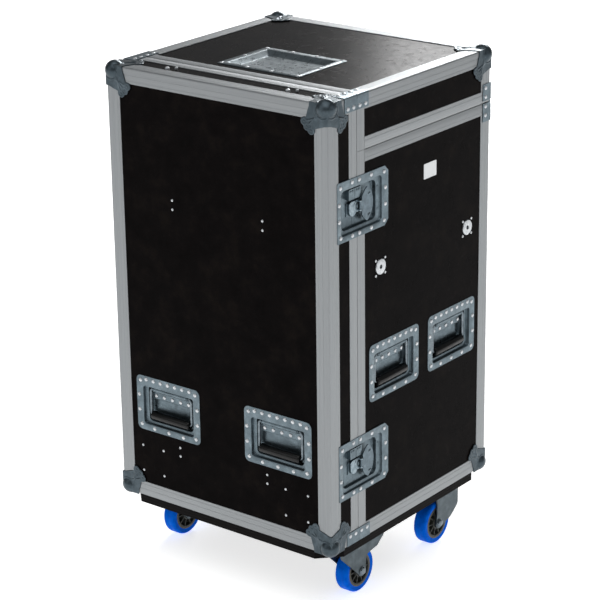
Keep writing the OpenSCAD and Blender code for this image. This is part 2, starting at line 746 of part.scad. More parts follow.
module lid_rivets() {
    color("#b5b8bb") {
        on_top(0, lid_dish_y) translate([0, 0, sheet - skin]) {
            for (x = [-100, -32, 32, 100], y = [-77, 77]) translate([x, y, 0]) rivet();
            for (x = [-100, 100]) translate([x, 0, 0]) rivet();
        }
        brace_rivets([seam_y + 9.1, seam_y + 28.4], true);
        both_sides() for (z = [lid_z - zb + 13.5, lid_z - zb + 33]) on_right(hd - 19, z)
            translate([0, 0, 1.5]) rivet();
    }
}

// ---- castors: fork shape in the plane of the wheel, a = from the axle towards the swivel ----
module fork_outline(braked) {
    ax = wheel_r;
    top = crown_z;
    translate([0, ax]) circle(13);
    // beyond step_a the top stays under the heads of the plate's bolts
    step_a = 1.5;
    if (braked) polygon([[72.7, top], [72.7, 104], [12, 45], [-13, ax], [-15, 80], [-27, 84.4],
                         [-56, 88], [-64, 95], [-79.5, 105.5], [-79.5, arm_z],
                         [step_a, arm_z], [step_a, top]]);
    else polygon([[73.5, top], [73.5, 76], [71, 70], [58, 59.6], [44, 50], [31, 45.6], [6, 38.5],
                  [-8, ax], [-8, arm_z], [step_a, arm_z], [step_a, top]]);
}
module castor_fork(i) {
    c = castors[i - 1];
    braked = c[1] < 0;
    crown_r = 36;
    color("#3f4a4f") translate([c[0] * castor_x, c[1] * wheel_y, 0]) mirror([0, c[1] < 0 ? 1 : 0, 0]) {
        for (s = [0, 1]) mirror([s, 0, 0]) translate([cheek_in, 0, 0])
            rotate([90, 0, 90]) linear_extrude(cheek_t) fork_outline(braked);
        difference() {
            intersection() {
                union() {
                    translate([0, castor_trail, crown_z - 9]) cylinder(r = crown_r, h = 9);
                    block([-cheek_in - 1, 4, crown_z - 9], [cheek_in + 1, 73, crown_z]);
                    if (braked) block([-cheek_in - 1, -79.5, arm_z - 4], [cheek_in + 1, 5, arm_z]);
                }
                block([-crown_r, -80, 0], [crown_r, 73.5, crown_z]);
            }
            translate([0, castor_trail, crown_z - 20]) cylinder(r = king_r + fit, h = 40);
        }
        translate([-cheek_in - 1, 0, wheel_r]) rotate([0, 90, 0]) cylinder(r = axle_r, h = 2 * cheek_in + 2);
        for (s = [0, 1]) mirror([s, 0, 0]) translate([cheek_in + cheek_t - 0.2, 0, wheel_r])
            rotate([0, 90, 0]) cylinder(r = 8.5, h = 6.2, $fn = 6);
    }
}
module castor_tyre(i) {
    c = castors[i - 1];
    w = wheel_w / 2;
    sr = 6;
    color("#0a63d8") translate([c[0] * castor_x, c[1] * wheel_y, wheel_r]) rotate([0, 90, 0])
        rotate_extrude($fn = 96) {
            translate([core_r, -w]) square([wheel_r - core_r - sr, wheel_w]);
            translate([core_r, -w + sr]) square([wheel_r - core_r, wheel_w - 2 * sr]);
            for (y = [-w + sr, w - sr]) translate([wheel_r - sr, y]) circle(sr);
        }
}
module castor_core(i) {
    c = castors[i - 1];
    w = wheel_w / 2 - 1;
    color("#3d3f3c") translate([c[0] * castor_x, c[1] * wheel_y, wheel_r]) rotate([0, 90, 0])
        rotate_extrude($fn = 96) polygon([[axle_r + fit, -w - 1.5], [15, -w - 1.5], [15, -5], [31, -5],
            [31, -w], [core_r, -w], [core_r, w], [31, w], [31, 5], [15, 5], [15, w + 1.5],
            [axle_r + fit, w + 1.5]]);
}

body_panels();
body_extrusions();
body_corners();
body_braces();
castor_board();
castor_plates();
side_handle_dishes();
latch_dishes();
body_rivets();
side_bosses();
badge_plate();
rack_battens();
rack_rails();
cover_panels();
cover_extrusions();
cover_corners();
cover_braces();
front_handle_dishes();
latch_keepers();
cover_fixings();
lid_panels();
lid_extrusions();
lid_corners();
lid_braces();
lid_dish();
lid_rivets();
for (i = [1:6]) {
    h = handles[i - 1];
    on_face(h[0], h[1], h[2]) bail();
    on_face(h[0], h[1], h[2]) grip();
}
for (i = [1:4]) {
    l = latches[i - 1];
    on_face(l[0], seam_y, l[1]) latch_rotor();
    on_face(l[0], seam_y, l[1]) latch_wing();
    castor_fork(i);
    castor_tyre(i);
    castor_core(i);
}
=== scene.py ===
# %% [markdown]
# # A wheeled road case, piece by piece
# A road case is a plywood box that travels: laminated panels slide into aluminium edge profiles,
# and steel hardware is riveted on top. The engineering model is loaded first as a fixed frame,
# so every piece below is placed from its sizes and rides on one of its moving bodies.

# %% Load the frame
import math
import bmesh
import bpy
from mathutils import Matrix, Vector
from mathutils.geometry import tessellate_polygon


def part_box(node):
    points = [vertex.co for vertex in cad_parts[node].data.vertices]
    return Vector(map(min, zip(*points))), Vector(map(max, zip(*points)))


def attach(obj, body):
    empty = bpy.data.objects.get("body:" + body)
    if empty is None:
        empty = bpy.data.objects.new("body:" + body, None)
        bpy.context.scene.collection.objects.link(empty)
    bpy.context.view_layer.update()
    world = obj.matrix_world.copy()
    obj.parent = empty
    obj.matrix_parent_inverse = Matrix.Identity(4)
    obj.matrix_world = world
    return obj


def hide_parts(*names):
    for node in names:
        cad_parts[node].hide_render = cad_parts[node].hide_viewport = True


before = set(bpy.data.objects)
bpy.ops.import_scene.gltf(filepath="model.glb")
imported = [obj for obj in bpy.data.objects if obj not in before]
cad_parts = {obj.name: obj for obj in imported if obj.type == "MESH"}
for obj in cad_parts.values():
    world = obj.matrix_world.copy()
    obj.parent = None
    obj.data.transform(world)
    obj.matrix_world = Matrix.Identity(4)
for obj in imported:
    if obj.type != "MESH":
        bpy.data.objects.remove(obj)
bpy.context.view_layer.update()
scene = bpy.context.scene

# %% [markdown]
# ## Sizes
# The case is designed in millimetres and Blender works in metres. All sizes are kept in
# millimetres and turned to metres in one place, when a mesh is made. The outer sizes are read
# from the frame's own boxes, so the looks can't drift from the engineering model.

# %% Sizes in millimetres
MM = 0.001


def node_box(node):
    low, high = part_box(node)
    return low / MM, high / MM


shell_low, shell_high = node_box("cover_extrusions")
HW = shell_high.x                     # half the width over the aluminium
HD = -shell_low.y                     # half the depth
ZB, ZT = shell_low.z, shell_high.z    # underside and top of the boxed part
HALF_GAP = 0.3                        # half of the gap at a closed seam
SEAM_Y = node_box("body_extrusions")[0].y - HALF_GAP
LID_Z = node_box("lid_braces")[0].z + 4.2
SHEET_T = 1.6                         # wall of the profiles
INNER = 10.6                          # outer face to a panel's inner face
LEG = 34                              # leg of an edge angle
SEAM_W = 26                           # strip on each side of a seam
TINY = 0.1
print("half width", HW, "half depth", HD, "seam", round(SEAM_Y, 2), "lid at", round(LID_Z, 2))

# %% [markdown]
# ## Camera
# A tall case shows its shape best from a little above, with a long lens so that the edges stay
# nearly parallel. The camera is set from its two angles, a small roll and a place.

# %% Camera


def add_object(name, data):
    """Puts a mesh, light or camera in the scene."""
    obj = bpy.data.objects.new(name, data)
    scene.collection.objects.link(obj)
    return obj


CAMERA_AT = (2.8631, -3.6819, 2.2588)
AZIMUTH, ELEVATION, ROLL = (math.radians(a) for a in (37.9638, 19.9089, -0.7892))
right = Vector((math.cos(AZIMUTH), math.sin(AZIMUTH), 0))
back = Vector((math.sin(AZIMUTH) * math.cos(ELEVATION),
               -math.cos(AZIMUTH) * math.cos(ELEVATION), math.sin(ELEVATION)))
up = back.cross(right)
rolled_right = right * math.cos(ROLL) + up * math.sin(ROLL)
rolled_up = up * math.cos(ROLL) - right * math.sin(ROLL)
camera_data = bpy.data.cameras.new("studio_camera")
camera_data.sensor_width, camera_data.lens = 36, 136.09
camera_data.clip_end = 100
camera = add_object("studio_camera", camera_data)
camera.matrix_world = Matrix.Translation(CAMERA_AT) @ Matrix(
    [[rolled_right[i], rolled_up[i], back[i]] for i in range(3)]).to_4x4()
scene.camera = camera
scene.view_settings.view_transform = "Standard"
print("camera at", CAMERA_AT, "looking along", tuple(round(-c, 3) for c in back))

# %% [markdown]
# ## Studio
# Black laminate shows only what it mirrors, so the light matters more than its colour. The room
# is kept dim and large soft panels light the metal. One long panel behind the case draws the soft
# grey sweep across the top. The white dome is a backdrop and gives no light.

# %% Colours and nodes


def linear(code):
    """sRGB hex to the linear colour that shaders use."""
    parts = [int(code[i:i + 2], 16) / 255 for i in (1, 3, 5)]
    return [c / 12.92 if c <= 0.04045 else ((c + 0.055) / 1.055) ** 2.4 for c in parts] + [1.0]


def add_node(tree, kind, **settings):
    """Adds one node. A setting named like an input sets it or links it, others set attributes."""
    node = tree.nodes.new(kind)
    for key, value in settings.items():
        if hasattr(node, key) and not key.startswith("in_"):
            setattr(node, key, value)
            continue
        name = key[3:].replace("_", " ") if key.startswith("in_") else key
        socket = node.inputs[int(name)] if name.isdigit() else node.inputs[name]
        if isinstance(value, bpy.types.NodeSocket):
            tree.links.new(value, socket)
        else:
            socket.default_value = value
    return node


print("mid grey in linear light:", [round(c, 3) for c in linear("#808080")])

# %% Sky and lights
world = bpy.data.worlds.new("studio")
scene.world = world
world.use_nodes = True
world.node_tree.nodes["Background"].inputs["Color"].default_value = linear("#eef1f4")
world.node_tree.nodes["Background"].inputs["Strength"].default_value = 0.22


def soft_light(name, at, aim, size, power):
    data = bpy.data.lights.new(name, "AREA")
    data.shape, data.size, data.size_y = "RECTANGLE", size[0], size[1]
    data.energy = power
    lamp = add_object(name, data)
    lamp.location = at
    lamp.rotation_euler = (Vector(aim) - Vector(at)).to_track_quat("-Z", "Y").to_euler()
    lamp.visible_camera = False


CASE_MIDDLE, LID_TOP = (0, 0, 0.6), (0.1, 0, 1.1)
soft_light("overhead", (0.6, -1.4, 4.4), CASE_MIDDLE, (4.5, 4.5), 80)
soft_light("front_fill", (-2.2, -4.2, 2.6), CASE_MIDDLE, (2.8, 2.8), 18)
soft_light("side_fill", (4.6, 1.2, 2.4), CASE_MIDDLE, (2.8, 2.8), 10)
soft_light("rear_sky", (-3.6, 5.3, 3.6), LID_TOP, (8, 3.6), 12)
soft_light("top_sweep", (-1.9, 4.9, 3.1), LID_TOP, (2.4, 1.6), 170)

# %% [markdown]
# The floor glows a little so that it stays white under dim light. The dome is seen by the camera
# alone: it whitens the background, and no surface of the case mirrors it.

# %% Floor and backdrop


def studio_paint(name, colour, specular, glow, roughness=0.5):
    """Matt white paint for the room, with some light of its own."""
    paint = bpy.data.materials.new(name)
    paint.use_nodes = True
    shader = paint.node_tree.nodes["Principled BSDF"]
    shader.inputs["Base Color"].default_value = linear(colour)
    shader.inputs["Roughness"].default_value = roughness
    shader.inputs["Specular IOR Level"].default_value = specular
    shader.inputs["Emission Color"].default_value = linear("#ffffff")
    shader.inputs["Emission Strength"].default_value = glow
    return paint


FLOOR_HALF = 30
floor_mesh = bpy.data.meshes.new("floor")
floor_mesh.from_pydata([(x, y, 0) for x, y in ((-1, -1), (1, -1), (1, 1), (-1, 1))], [], [(0, 1, 2, 3)])
floor_mesh.transform(Matrix.Scale(FLOOR_HALF, 4))
floor_mesh.materials.append(studio_paint("matt_white_floor_paint", "#f4f4f3", 0.1, 0.72, 0.9))
floor = add_object("floor", floor_mesh)

dome_bm = bmesh.new()
bmesh.ops.create_icosphere(dome_bm, subdivisions=4, radius=FLOOR_HALF)
dome_mesh = bpy.data.meshes.new("backdrop_dome")
dome_bm.to_mesh(dome_mesh)
dome_bm.free()
dome_mesh.materials.append(studio_paint("white_backdrop", "#000000", 0.0, 1.0))
dome = add_object("backdrop_dome", dome_mesh)
for ray in ("visible_diffuse", "visible_glossy", "visible_transmission", "visible_shadow"):
    setattr(dome, ray, False)
print("the floor reaches", FLOOR_HALF, "m each way")

# %% [markdown]
# ## Finishes
# Six families of material cover the case. Each starts from the real one: what it is, how its
# surface was made and at what scale its pattern repeats. Patterns run in object space, so one
# unit is one metre and a grain of 2 mm is a scale of 500.

# %% Finish helpers


def finish(name, metallic=0.0, roughness=0.5, specular=0.5):
    """An empty finish with its shader; the numbers that don't vary sit on the shader itself."""
    material = bpy.data.materials.new(name)
    material.use_nodes = True
    tree = material.node_tree
    shader = tree.nodes["Principled BSDF"]
    shader.inputs["Metallic"].default_value = metallic
    shader.inputs["Roughness"].default_value = roughness
    shader.inputs["Specular IOR Level"].default_value = specular
    return material, tree, shader


def stretched(tree, coordinates, scale):
    """Coordinates scaled per axis, in patterns per metre."""
    return add_node(tree, "ShaderNodeMapping", in_Vector=coordinates, in_Scale=scale).outputs[0]


def noise(tree, vector, scale=1.0, detail=3.0, roughness=0.55):
    return add_node(tree, "ShaderNodeTexNoise", in_Vector=vector, in_Scale=scale,
                    in_Detail=detail, in_Roughness=roughness).outputs["Fac"]


def ramp(tree, fac, stops):
    """Colour ramp with [(place, hex), ...]."""
    node = add_node(tree, "ShaderNodeValToRGB", in_Fac=fac)
    elements = node.color_ramp.elements
    while len(elements) < len(stops):
        elements.new(0.5)
    for element, (place, code) in zip(elements, stops):
        element.position, element.color = place, linear(code)
    return node.outputs["Color"]


def spread(tree, fac, low, high, from_low=0.3, from_high=0.7):
    """Maps a noise value to a range of roughness or height."""
    return add_node(tree, "ShaderNodeMapRange", in_Value=fac, in_From_Min=from_low,
                    in_From_Max=from_high, in_To_Min=low, in_To_Max=high).outputs["Result"]


def bump(tree, shader, height, distance, strength):
    """Relief of a height in metres, on the shader's normal."""
    node = add_node(tree, "ShaderNodeBump", in_Height=height, in_Distance=distance, in_Strength=strength)
    tree.links.new(node.outputs["Normal"], shader.inputs["Normal"])


def coloured(tree, shader, pattern, stops):
    """Gives the shader's base colour the ramp's colours where the pattern says."""
    tree.links.new(ramp(tree, pattern, stops), shader.inputs["Base Color"])


def object_space(tree):
    return add_node(tree, "ShaderNodeTexCoord").outputs["Object"]


def per_metre(mm):
    """How many patterns of this size in millimetres fit in a metre."""
    return 1000 / mm


print("patterns of 2 mm in a metre:", per_metre(2))

# %% [markdown]
# ### Film-faced birch plywood
# The panels are birch plywood under a hot-pressed phenolic film. The film is nearly black with
# brown clouds a few centimetres wide where the veneer shows through, and a fine pebble that
# breaks up its sheen. The pebble is about 0.6 mm on the real film and is drawn at 1.6 mm.

# %% Film-faced birch plywood
film_ply, tree, shader = finish("phenolic_film_birch_plywood", roughness=0.24, specular=0.015)
space = object_space(tree)
clouds = noise(tree, space, per_metre(38), 4, 0.6)
coloured(tree, shader, clouds, [(0.3, "#080606"), (0.52, "#0d0a0a"), (0.72, "#15110f")])
tree.links.new(spread(tree, noise(tree, space, per_metre(14), 3), 0.2, 0.29), shader.inputs["Roughness"])
pebble = noise(tree, space, per_metre(1.6), 2, 0.5)
bump(tree, shader, pebble, 0.0001, 0.25)

board_ply, tree, shader = finish("stained_birch_plywood_board", roughness=0.55, specular=0.05)
space = object_space(tree)
# veneers are about 1.5 mm thick; their edges are drawn at 6 mm so that they show
veneers = add_node(tree, "ShaderNodeTexWave", bands_direction="Z", in_Vector=space,
                   in_Scale=per_metre(6.3) / math.tau * 2, in_Distortion=0.4, in_Detail=1.0).outputs["Fac"]
fibres = noise(tree, stretched(tree, space, (60, 60, 900)), 1.0, 3)
worn = add_node(tree, "ShaderNodeMath", operation="MULTIPLY", in_0=veneers, in_1=fibres).outputs[0]
coloured(tree, shader, worn, [(0.1, "#0b0909"), (0.45, "#120f0f"), (0.75, "#231f1d")])
bump(tree, shader, worn, 0.0003, 0.5)

birch_batten, tree, shader = finish("planed_birch_batten", roughness=0.6, specular=0.3)
space = object_space(tree)
rings = noise(tree, stretched(tree, space, (per_metre(5), per_metre(5), per_metre(160))), 1.0, 4)
coloured(tree, shader, rings, [(0.3, "#a98658"), (0.55, "#bf9d6e"), (0.75, "#8f6d44")])
bump(tree, shader, rings, 0.0003, 0.4)
print("wood finishes:", film_ply.name, board_ply.name, birch_batten.name)

# %% [markdown]
# ### Anodised aluminium
# Edge profiles are pushed through a die and then anodised. The die leaves hair-fine lines along
# the length, and the anodising turns the mirror into an even satin. The lines follow each bar,
# so the bars carry a UV map in metres: u along the bar and v round its section.

# %% Anodised aluminium
aluminium, tree, shader = finish("anodised_extruded_aluminium", metallic=1.0, roughness=0.48)
bar_uv = add_node(tree, "ShaderNodeTexCoord").outputs["UV"]
die_lines = noise(tree, stretched(tree, bar_uv, (2.5, per_metre(1.1), 1)), 1.0, 4, 0.6)
soft_lines = noise(tree, stretched(tree, bar_uv, (0.8, per_metre(7), 1)), 1.0, 2)
both = add_node(tree, "ShaderNodeMath", operation="ADD", in_0=die_lines, in_1=soft_lines).outputs[0]
coloured(tree, shader, spread(tree, both, 0, 1, 0.75, 1.25),
         [(0.0, "#8f9294"), (0.5, "#95989a"), (1.0, "#9da0a2")])
tree.links.new(spread(tree, soft_lines, 0.43, 0.53), shader.inputs["Roughness"])
bump(tree, shader, die_lines, 0.0001, 0.12)

badge_metal, tree, shader = finish("brushed_aluminium_badge", metallic=1.0, roughness=0.35)
space = object_space(tree)
brushing = noise(tree, stretched(tree, space, (per_metre(30), per_metre(30), per_metre(0.5))), 1.0, 3)
coloured(tree, shader, brushing, [(0.3, "#c4c7c9"), (0.7, "#e2e4e5")])
bump(tree, shader, brushing, 0.0001, 0.3)
print("aluminium finishes:", aluminium.name, badge_metal.name)

# %% [markdown]
# ### Steel hardware
# Dishes, corners and braces are pressed from sheet and zinc plated with a dark passivation.
# Rolling leaves a faint grain of about 1 mm and plating leaves cloudy patches of about 20 mm.
# Rivets, wires and sockets are bright zinc.

# %% Steel finishes


def plated_steel(name, dark, mid, light, rough, cloud_mm=20, grain_mm=1.0, metallic=0.9):
    material, tree, shader = finish(name, metallic=metallic, roughness=rough)
    space = object_space(tree)
    clouds = noise(tree, space, per_metre(cloud_mm), 4, 0.6)
    coloured(tree, shader, clouds, [(0.28, dark), (0.5, mid), (0.74, light)])
    tree.links.new(spread(tree, noise(tree, space, per_metre(cloud_mm / 2.5), 3), rough - 0.06, rough + 0.1),
                   shader.inputs["Roughness"])
    grain = noise(tree, space, per_metre(grain_mm), 2)
    bump(tree, shader, grain, 0.00008, 0.3)
    return material


pressed_steel = plated_steel("dark_zinc_pressed_steel", "#5a666d", "#66737a", "#78868e", 0.32)
corner_steel = plated_steel("deep_drawn_corner_steel", "#3c464c", "#465056", "#5a656c", 0.32)
rivet_steel = plated_steel("bright_zinc_rivet_steel", "#b4b7ba", "#c4c7ca", "#d6d8da", 0.36, 8, 0.8, 1.0)
wire_steel = plated_steel("bright_zinc_steel_wire", "#636c72", "#737c82", "#899297", 0.3, 12, 0.8, 1.0)
zinc_casting = plated_steel("tumbled_zinc_die_casting", "#76858d", "#8b99a1", "#a6b3ba", 0.33, 9, 0.9, 1.0)
wing_steel = plated_steel("dark_zinc_wing_steel", "#55626a", "#626f77", "#788790", 0.32, 12)
dish_steel = plated_steel("zinc_lid_dish_steel", "#5a6469", "#697378", "#7b858a", 0.3, 30)
castor_steel = plated_steel("zinc_plated_castor_steel", "#465055", "#50595e", "#616b70", 0.38, 24, 1.2)
rail_steel = plated_steel("powder_coated_rail_steel", "#1c1d1f", "#222426", "#2a2c2e", 0.5, 30, 0.6, 0.0)
print("steel finishes made")

# %% [markdown]
# ### Rubber and plastic
# The grips are moulded rubber, black with a soft sheen and a fine stipple. The castor tread is
# cast elastic polyurethane in bright blue, a little translucent in life, which shows as a soft
# sheen. The core is glass-filled polyamide with a dull, slightly mottled grey.

# %% Rubber and plastic finishes


def moulded(name, rough, specular, mottle_mm, stops, grain_mm, strength, detail=3):
    """A moulded surface: its colour wanders softly and the mould leaves a fine grain."""
    material, tree, shader = finish(name, roughness=rough, specular=specular)
    space = object_space(tree)
    coloured(tree, shader, noise(tree, space, per_metre(mottle_mm), detail), stops)
    bump(tree, shader, noise(tree, space, per_metre(grain_mm), 2), 0.0002, strength)
    return material


grip_rubber = moulded("moulded_black_rubber", 0.26, 0.3, 10, [(0.3, "#030303"), (0.7, "#060606")], 0.9, 0.3)
blue_tread = moulded("cast_blue_polyurethane", 0.34, 0.015, 16, [
    (0.28, "#0055c4"), (0.5, "#0061d8"), (0.75, "#066ee2")], 1.4, 0.3)
# use scuffs the tread, so its roughness varies too
tree = blue_tread.node_tree
scuffs = noise(tree, object_space(tree), per_metre(6), 3)
tree.links.new(spread(tree, scuffs, 0.3, 0.46), tree.nodes["Principled BSDF"].inputs["Roughness"])
core_plastic = moulded("glass_filled_polyamide", 0.55, 0.4, 5, [
    (0.3, "#30322f"), (0.7, "#41433f")], 1.0, 0.4, 4)
ring_plastic = moulded("olive_polyamide_ring", 0.5, 0.4, 5, [(0.3, "#4a4432"), (0.7, "#5c553f")], 1.0, 0.4)
print("soft finishes:", grip_rubber.name, blue_tread.name, core_plastic.name, ring_plastic.name)

# %% [markdown]
# ## From outlines to meshes
# Almost everything here is sheet, bar or turned metal, so four ways of making a mesh cover it:
# a prism from an outline, a loft through loops, a lathe and a tube along a path. Each gives points
# in millimetres in the piece's own place, and one function turns them into an object.

# %% Mesh helpers


def prism(outline, z0, z1):
    """Plate from a flat outline."""
    n = len(outline)
    points = [(x, y, z0) for x, y in outline] + [(x, y, z1) for x, y in outline]
    faces = [tuple(range(n))[::-1], tuple(range(n, 2 * n))]
    return points, faces + [(i, (i + 1) % n, n + (i + 1) % n, n + i) for i in range(n)]


def plate(loops, z0, z1):
    """Flat plate with holes; the first loop is its outline."""
    n = sum(len(loop) for loop in loops)
    flat = [p for loop in loops for p in loop]
    points = [(x, y, z0) for x, y in flat] + [(x, y, z1) for x, y in flat]
    caps = tessellate_polygon([[Vector((x, y, 0)) for x, y in loop] for loop in loops])
    faces = [tuple(f) for f in caps] + [tuple(i + n for i in f) for f in caps]
    start = 0
    for loop in loops:
        m = len(loop)
        faces += [(start + i, start + (i + 1) % m, n + start + (i + 1) % m, n + start + i) for i in range(m)]
        start += m
    return points, faces


def loft(loops, capped=True):
    """Skin through loops that have the same number of points."""
    n = len(loops[0])
    points = [p for loop in loops for p in loop]
    faces = [(k * n + i, k * n + (i + 1) % n, (k + 1) * n + (i + 1) % n, (k + 1) * n + i)
             for k in range(len(loops) - 1) for i in range(n)]
    if capped:
        faces += [tuple(range(n))[::-1], tuple(range((len(loops) - 1) * n, len(loops) * n))]
    return points, faces


def lathe(profile, segments=32):
    """Turned solid round z from [(radius, z), ...]; the ends meet the axis or close on themselves."""
    closed = profile[0][0] > 0
    points = [(r * math.cos(a), r * math.sin(a), z) for r, z in profile
              for a in (math.tau * i / segments for i in range(segments))]
    rows = len(profile)
    pairs = [(k, (k + 1) % rows) for k in range(rows if closed else rows - 1)]
    faces = [(a * segments + i, a * segments + (i + 1) % segments,
              b * segments + (i + 1) % segments, b * segments + i)
             for a, b in pairs for i in range(segments)]
    return points, faces


def tube(path, radius, sides=12, closed=False):
    """Round bar along a path of points."""
    path = [Vector(p) for p in path]
    n = len(path)
    rings, normal = [], None
    for i, at in enumerate(path):
        before = path[i - 1] if closed or i else at
        after = path[(i + 1) % n] if closed or i < n - 1 else at
        along = (after - before).normalized()
        if normal is None:
            normal = along.orthogonal().normalized()
        normal = (normal - along * normal.dot(along)).normalized()
        side = along.cross(normal)
        rings.append([tuple(at + radius * (normal * math.cos(a) + side * math.sin(a)))
                      for a in (math.tau * k / sides for k in range(sides))])
    if closed:
        rings.append(rings[0])
    return loft(rings, capped=not closed)


print("prism of a triangle:", len(prism([(0, 0), (1, 0), (0, 1)], 0, 1)[1]), "faces")

# %% [markdown]
# Outlines are lists of points too: a rounded rectangle or a disc. Shapes made lying on the table
# are then shifted, turned or mirrored into place.

# %% Outlines and moves


def round_rect(box, r, steps=5):
    """Rounded rectangle (x0, y0, x1, y1), the same number of points whatever its radius."""
    x0, y0, x1, y1 = box
    corners = ((x1 - r, y1 - r, 0), (x0 + r, y1 - r, 90), (x0 + r, y0 + r, 180), (x1 - r, y0 + r, 270))
    return [(cx + r * math.cos(math.radians(a + 90 * k / steps)),
             cy + r * math.sin(math.radians(a + 90 * k / steps)))
            for cx, cy, a in corners for k in range(steps + 1)]


def disc(x, y, r, steps=24):
    return [(x + r * math.cos(math.tau * k / steps), y + r * math.sin(math.tau * k / steps))
            for k in range(steps)]


def at_height(outline, z):
    return [(x, y, z) for x, y in outline]


def grown(box, d):
    return (box[0] - d, box[1] - d, box[2] + d, box[3] + d)


def moved(shape, x=0, y=0, z=0, turn=None):
    """A shape shifted, after an optional turn."""
    points, faces = shape
    matrix = Matrix.Translation((x, y, z)) @ (turn.to_4x4() if turn is not None else Matrix())
    return [tuple(matrix @ Vector(p)) for p in points], faces


def on_place(matrix, shapes):
    return [([tuple(matrix @ Vector(p)) for p in points], faces) for points, faces in shapes]


def block(a, b):
    """Box between two opposite corners."""
    return prism([(a[0], a[1]), (b[0], a[1]), (b[0], b[1]), (a[0], b[1])], a[2], b[2])


LIE_X = Matrix.Rotation(math.radians(90), 3, "Y")     # z axis onto x
LIE_Y = Matrix.Rotation(math.radians(-90), 3, "X")    # z axis onto y
ONTO_Y = Matrix(((1, 0, 0), (0, 0, 1), (0, 1, 0)))    # drawn on z = 0, laid on y = 0
ONTO_X = Matrix(((0, 0, 1), (1, 0, 0), (0, 1, 0)))    # drawn on z = 0, laid on x = 0
print("rounded rectangle:", len(round_rect((0, 0, 2, 1), 0.2)), "points")

# %% [markdown]
# ## Places on the case
# Hardware is drawn as if it lay on a table: x along the face, y up it, z out of it. A place
# matrix stands it on the front, the right or the left. The left one is a mirror image.

# %% Places and the piece maker


def place(face, along, up_mm):
    """Local frame on a face: heights count from the underside, or from the middle on the top."""
    rows = {"front": ((1, 0, 0, along), (0, 0, -1, -HD), (0, 1, 0, ZB + up_mm)),
            "right": ((0, 0, 1, HW), (1, 0, 0, along), (0, 1, 0, ZB + up_mm)),
            "left": ((0, 0, -1, -HW), (1, 0, 0, along), (0, 1, 0, ZB + up_mm)),
            "top": ((1, 0, 0, along), (0, 1, 0, up_mm), (0, 0, 1, ZT))}[face]
    return Matrix([*rows, (0, 0, 0, 1)])


def solid(shapes, scale=Matrix()):
    """Shapes as one mesh being edited."""
    bm = bmesh.new()
    for points, faces in shapes:
        verts = [bm.verts.new(scale @ Vector(p)) for p in points]
        for face in faces:
            if len(set(face)) > 2:
                bm.faces.new([verts[i] for i in face])
    return bm


def piece(name, shapes, material, body, stands_for=(), at=Matrix(), bevel=0.0, smooth=35):
    """Builds one object in metres, gives it its finish and lets it ride on its body."""
    bm = solid(shapes, Matrix.Scale(MM, 4) @ at)
    bmesh.ops.remove_doubles(bm, verts=bm.verts, dist=1e-7)
    bmesh.ops.dissolve_degenerate(bm, edges=bm.edges, dist=1e-8)
    bmesh.ops.recalc_face_normals(bm, faces=bm.faces)
    limit = math.radians(smooth)
    for edge in bm.edges:
        edge.smooth = len(edge.link_faces) == 2 and edge.calc_face_angle() < limit
    for face in bm.faces:
        face.smooth = True
    mesh = bpy.data.meshes.new(name)
    bm.to_mesh(mesh)
    bm.free()
    mesh.materials.append(material)
    obj = add_object(name, mesh)
    if bevel:
        edge_round = obj.modifiers.new("edge_round", "BEVEL")
        edge_round.width, edge_round.segments = bevel * MM, 2
        edge_round.limit_method, edge_round.angle_limit = "ANGLE", math.radians(50)
        edge_round.harden_normals = True
    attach(obj, body)
    if stands_for:
        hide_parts(*stands_for)
    return obj


def repaint(material, *nodes):
    """A CAD node whose shape is right keeps its mesh and gets the real finish."""
    for node in nodes:
        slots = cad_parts[node].material_slots
        for one in slots:
            one.material = material
        if not slots:
            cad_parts[node].data.materials.append(material)


repaint(film_ply, "body_panels", "cover_panels", "lid_panels")
repaint(board_ply, "castor_board")
repaint(birch_batten, "rack_battens")
repaint(rail_steel, "rack_rails")
print("panels, board, battens and rails keep their engineering shape")

# %% [markdown]
# ## Edge profiles
# Two sections make the whole skeleton. The edge angle wraps every outer edge, with a rounded
# nose and fine grooves on each leg. The seam section closes each half of an opening, with a
# tongue or a groove. Both are drawn once and swept, with a UV map so the die lines follow.

# %% Sections
NOSE_R, GROOVE_W, GROOVE_D = 3.0, 1.0, 0.3
ANGLE_GROOVES, SEAM_GROOVE = (15, 26.5), 17.5     # where the grooves start, from the nose or the seam
LIP_END = 14.3                        # a seam bar's inner lip reaches this far from the seam


def angle_leg(first):
    """Points along one leg's outer face, from the nose outwards, with its grooves."""
    steps = [(NOSE_R, 0)]
    for at in ANGLE_GROOVES:
        steps += [(at, 0), (at + GROOVE_W / 2, GROOVE_D), (at + GROOVE_W, 0)]
    steps += [(LEG - 0.6, 0), (LEG, 0.6), (LEG, SHEET_T)]
    return steps if first else [(y, x) for x, y in reversed(steps)]


nose = [(NOSE_R - NOSE_R * math.sin(a), NOSE_R - NOSE_R * math.cos(a))
        for a in (math.radians(90 * k / 6) for k in range(1, 6))]
ANGLE_SECTION = angle_leg(False) + nose[::-1] + angle_leg(True) + [(SHEET_T, SHEET_T)]


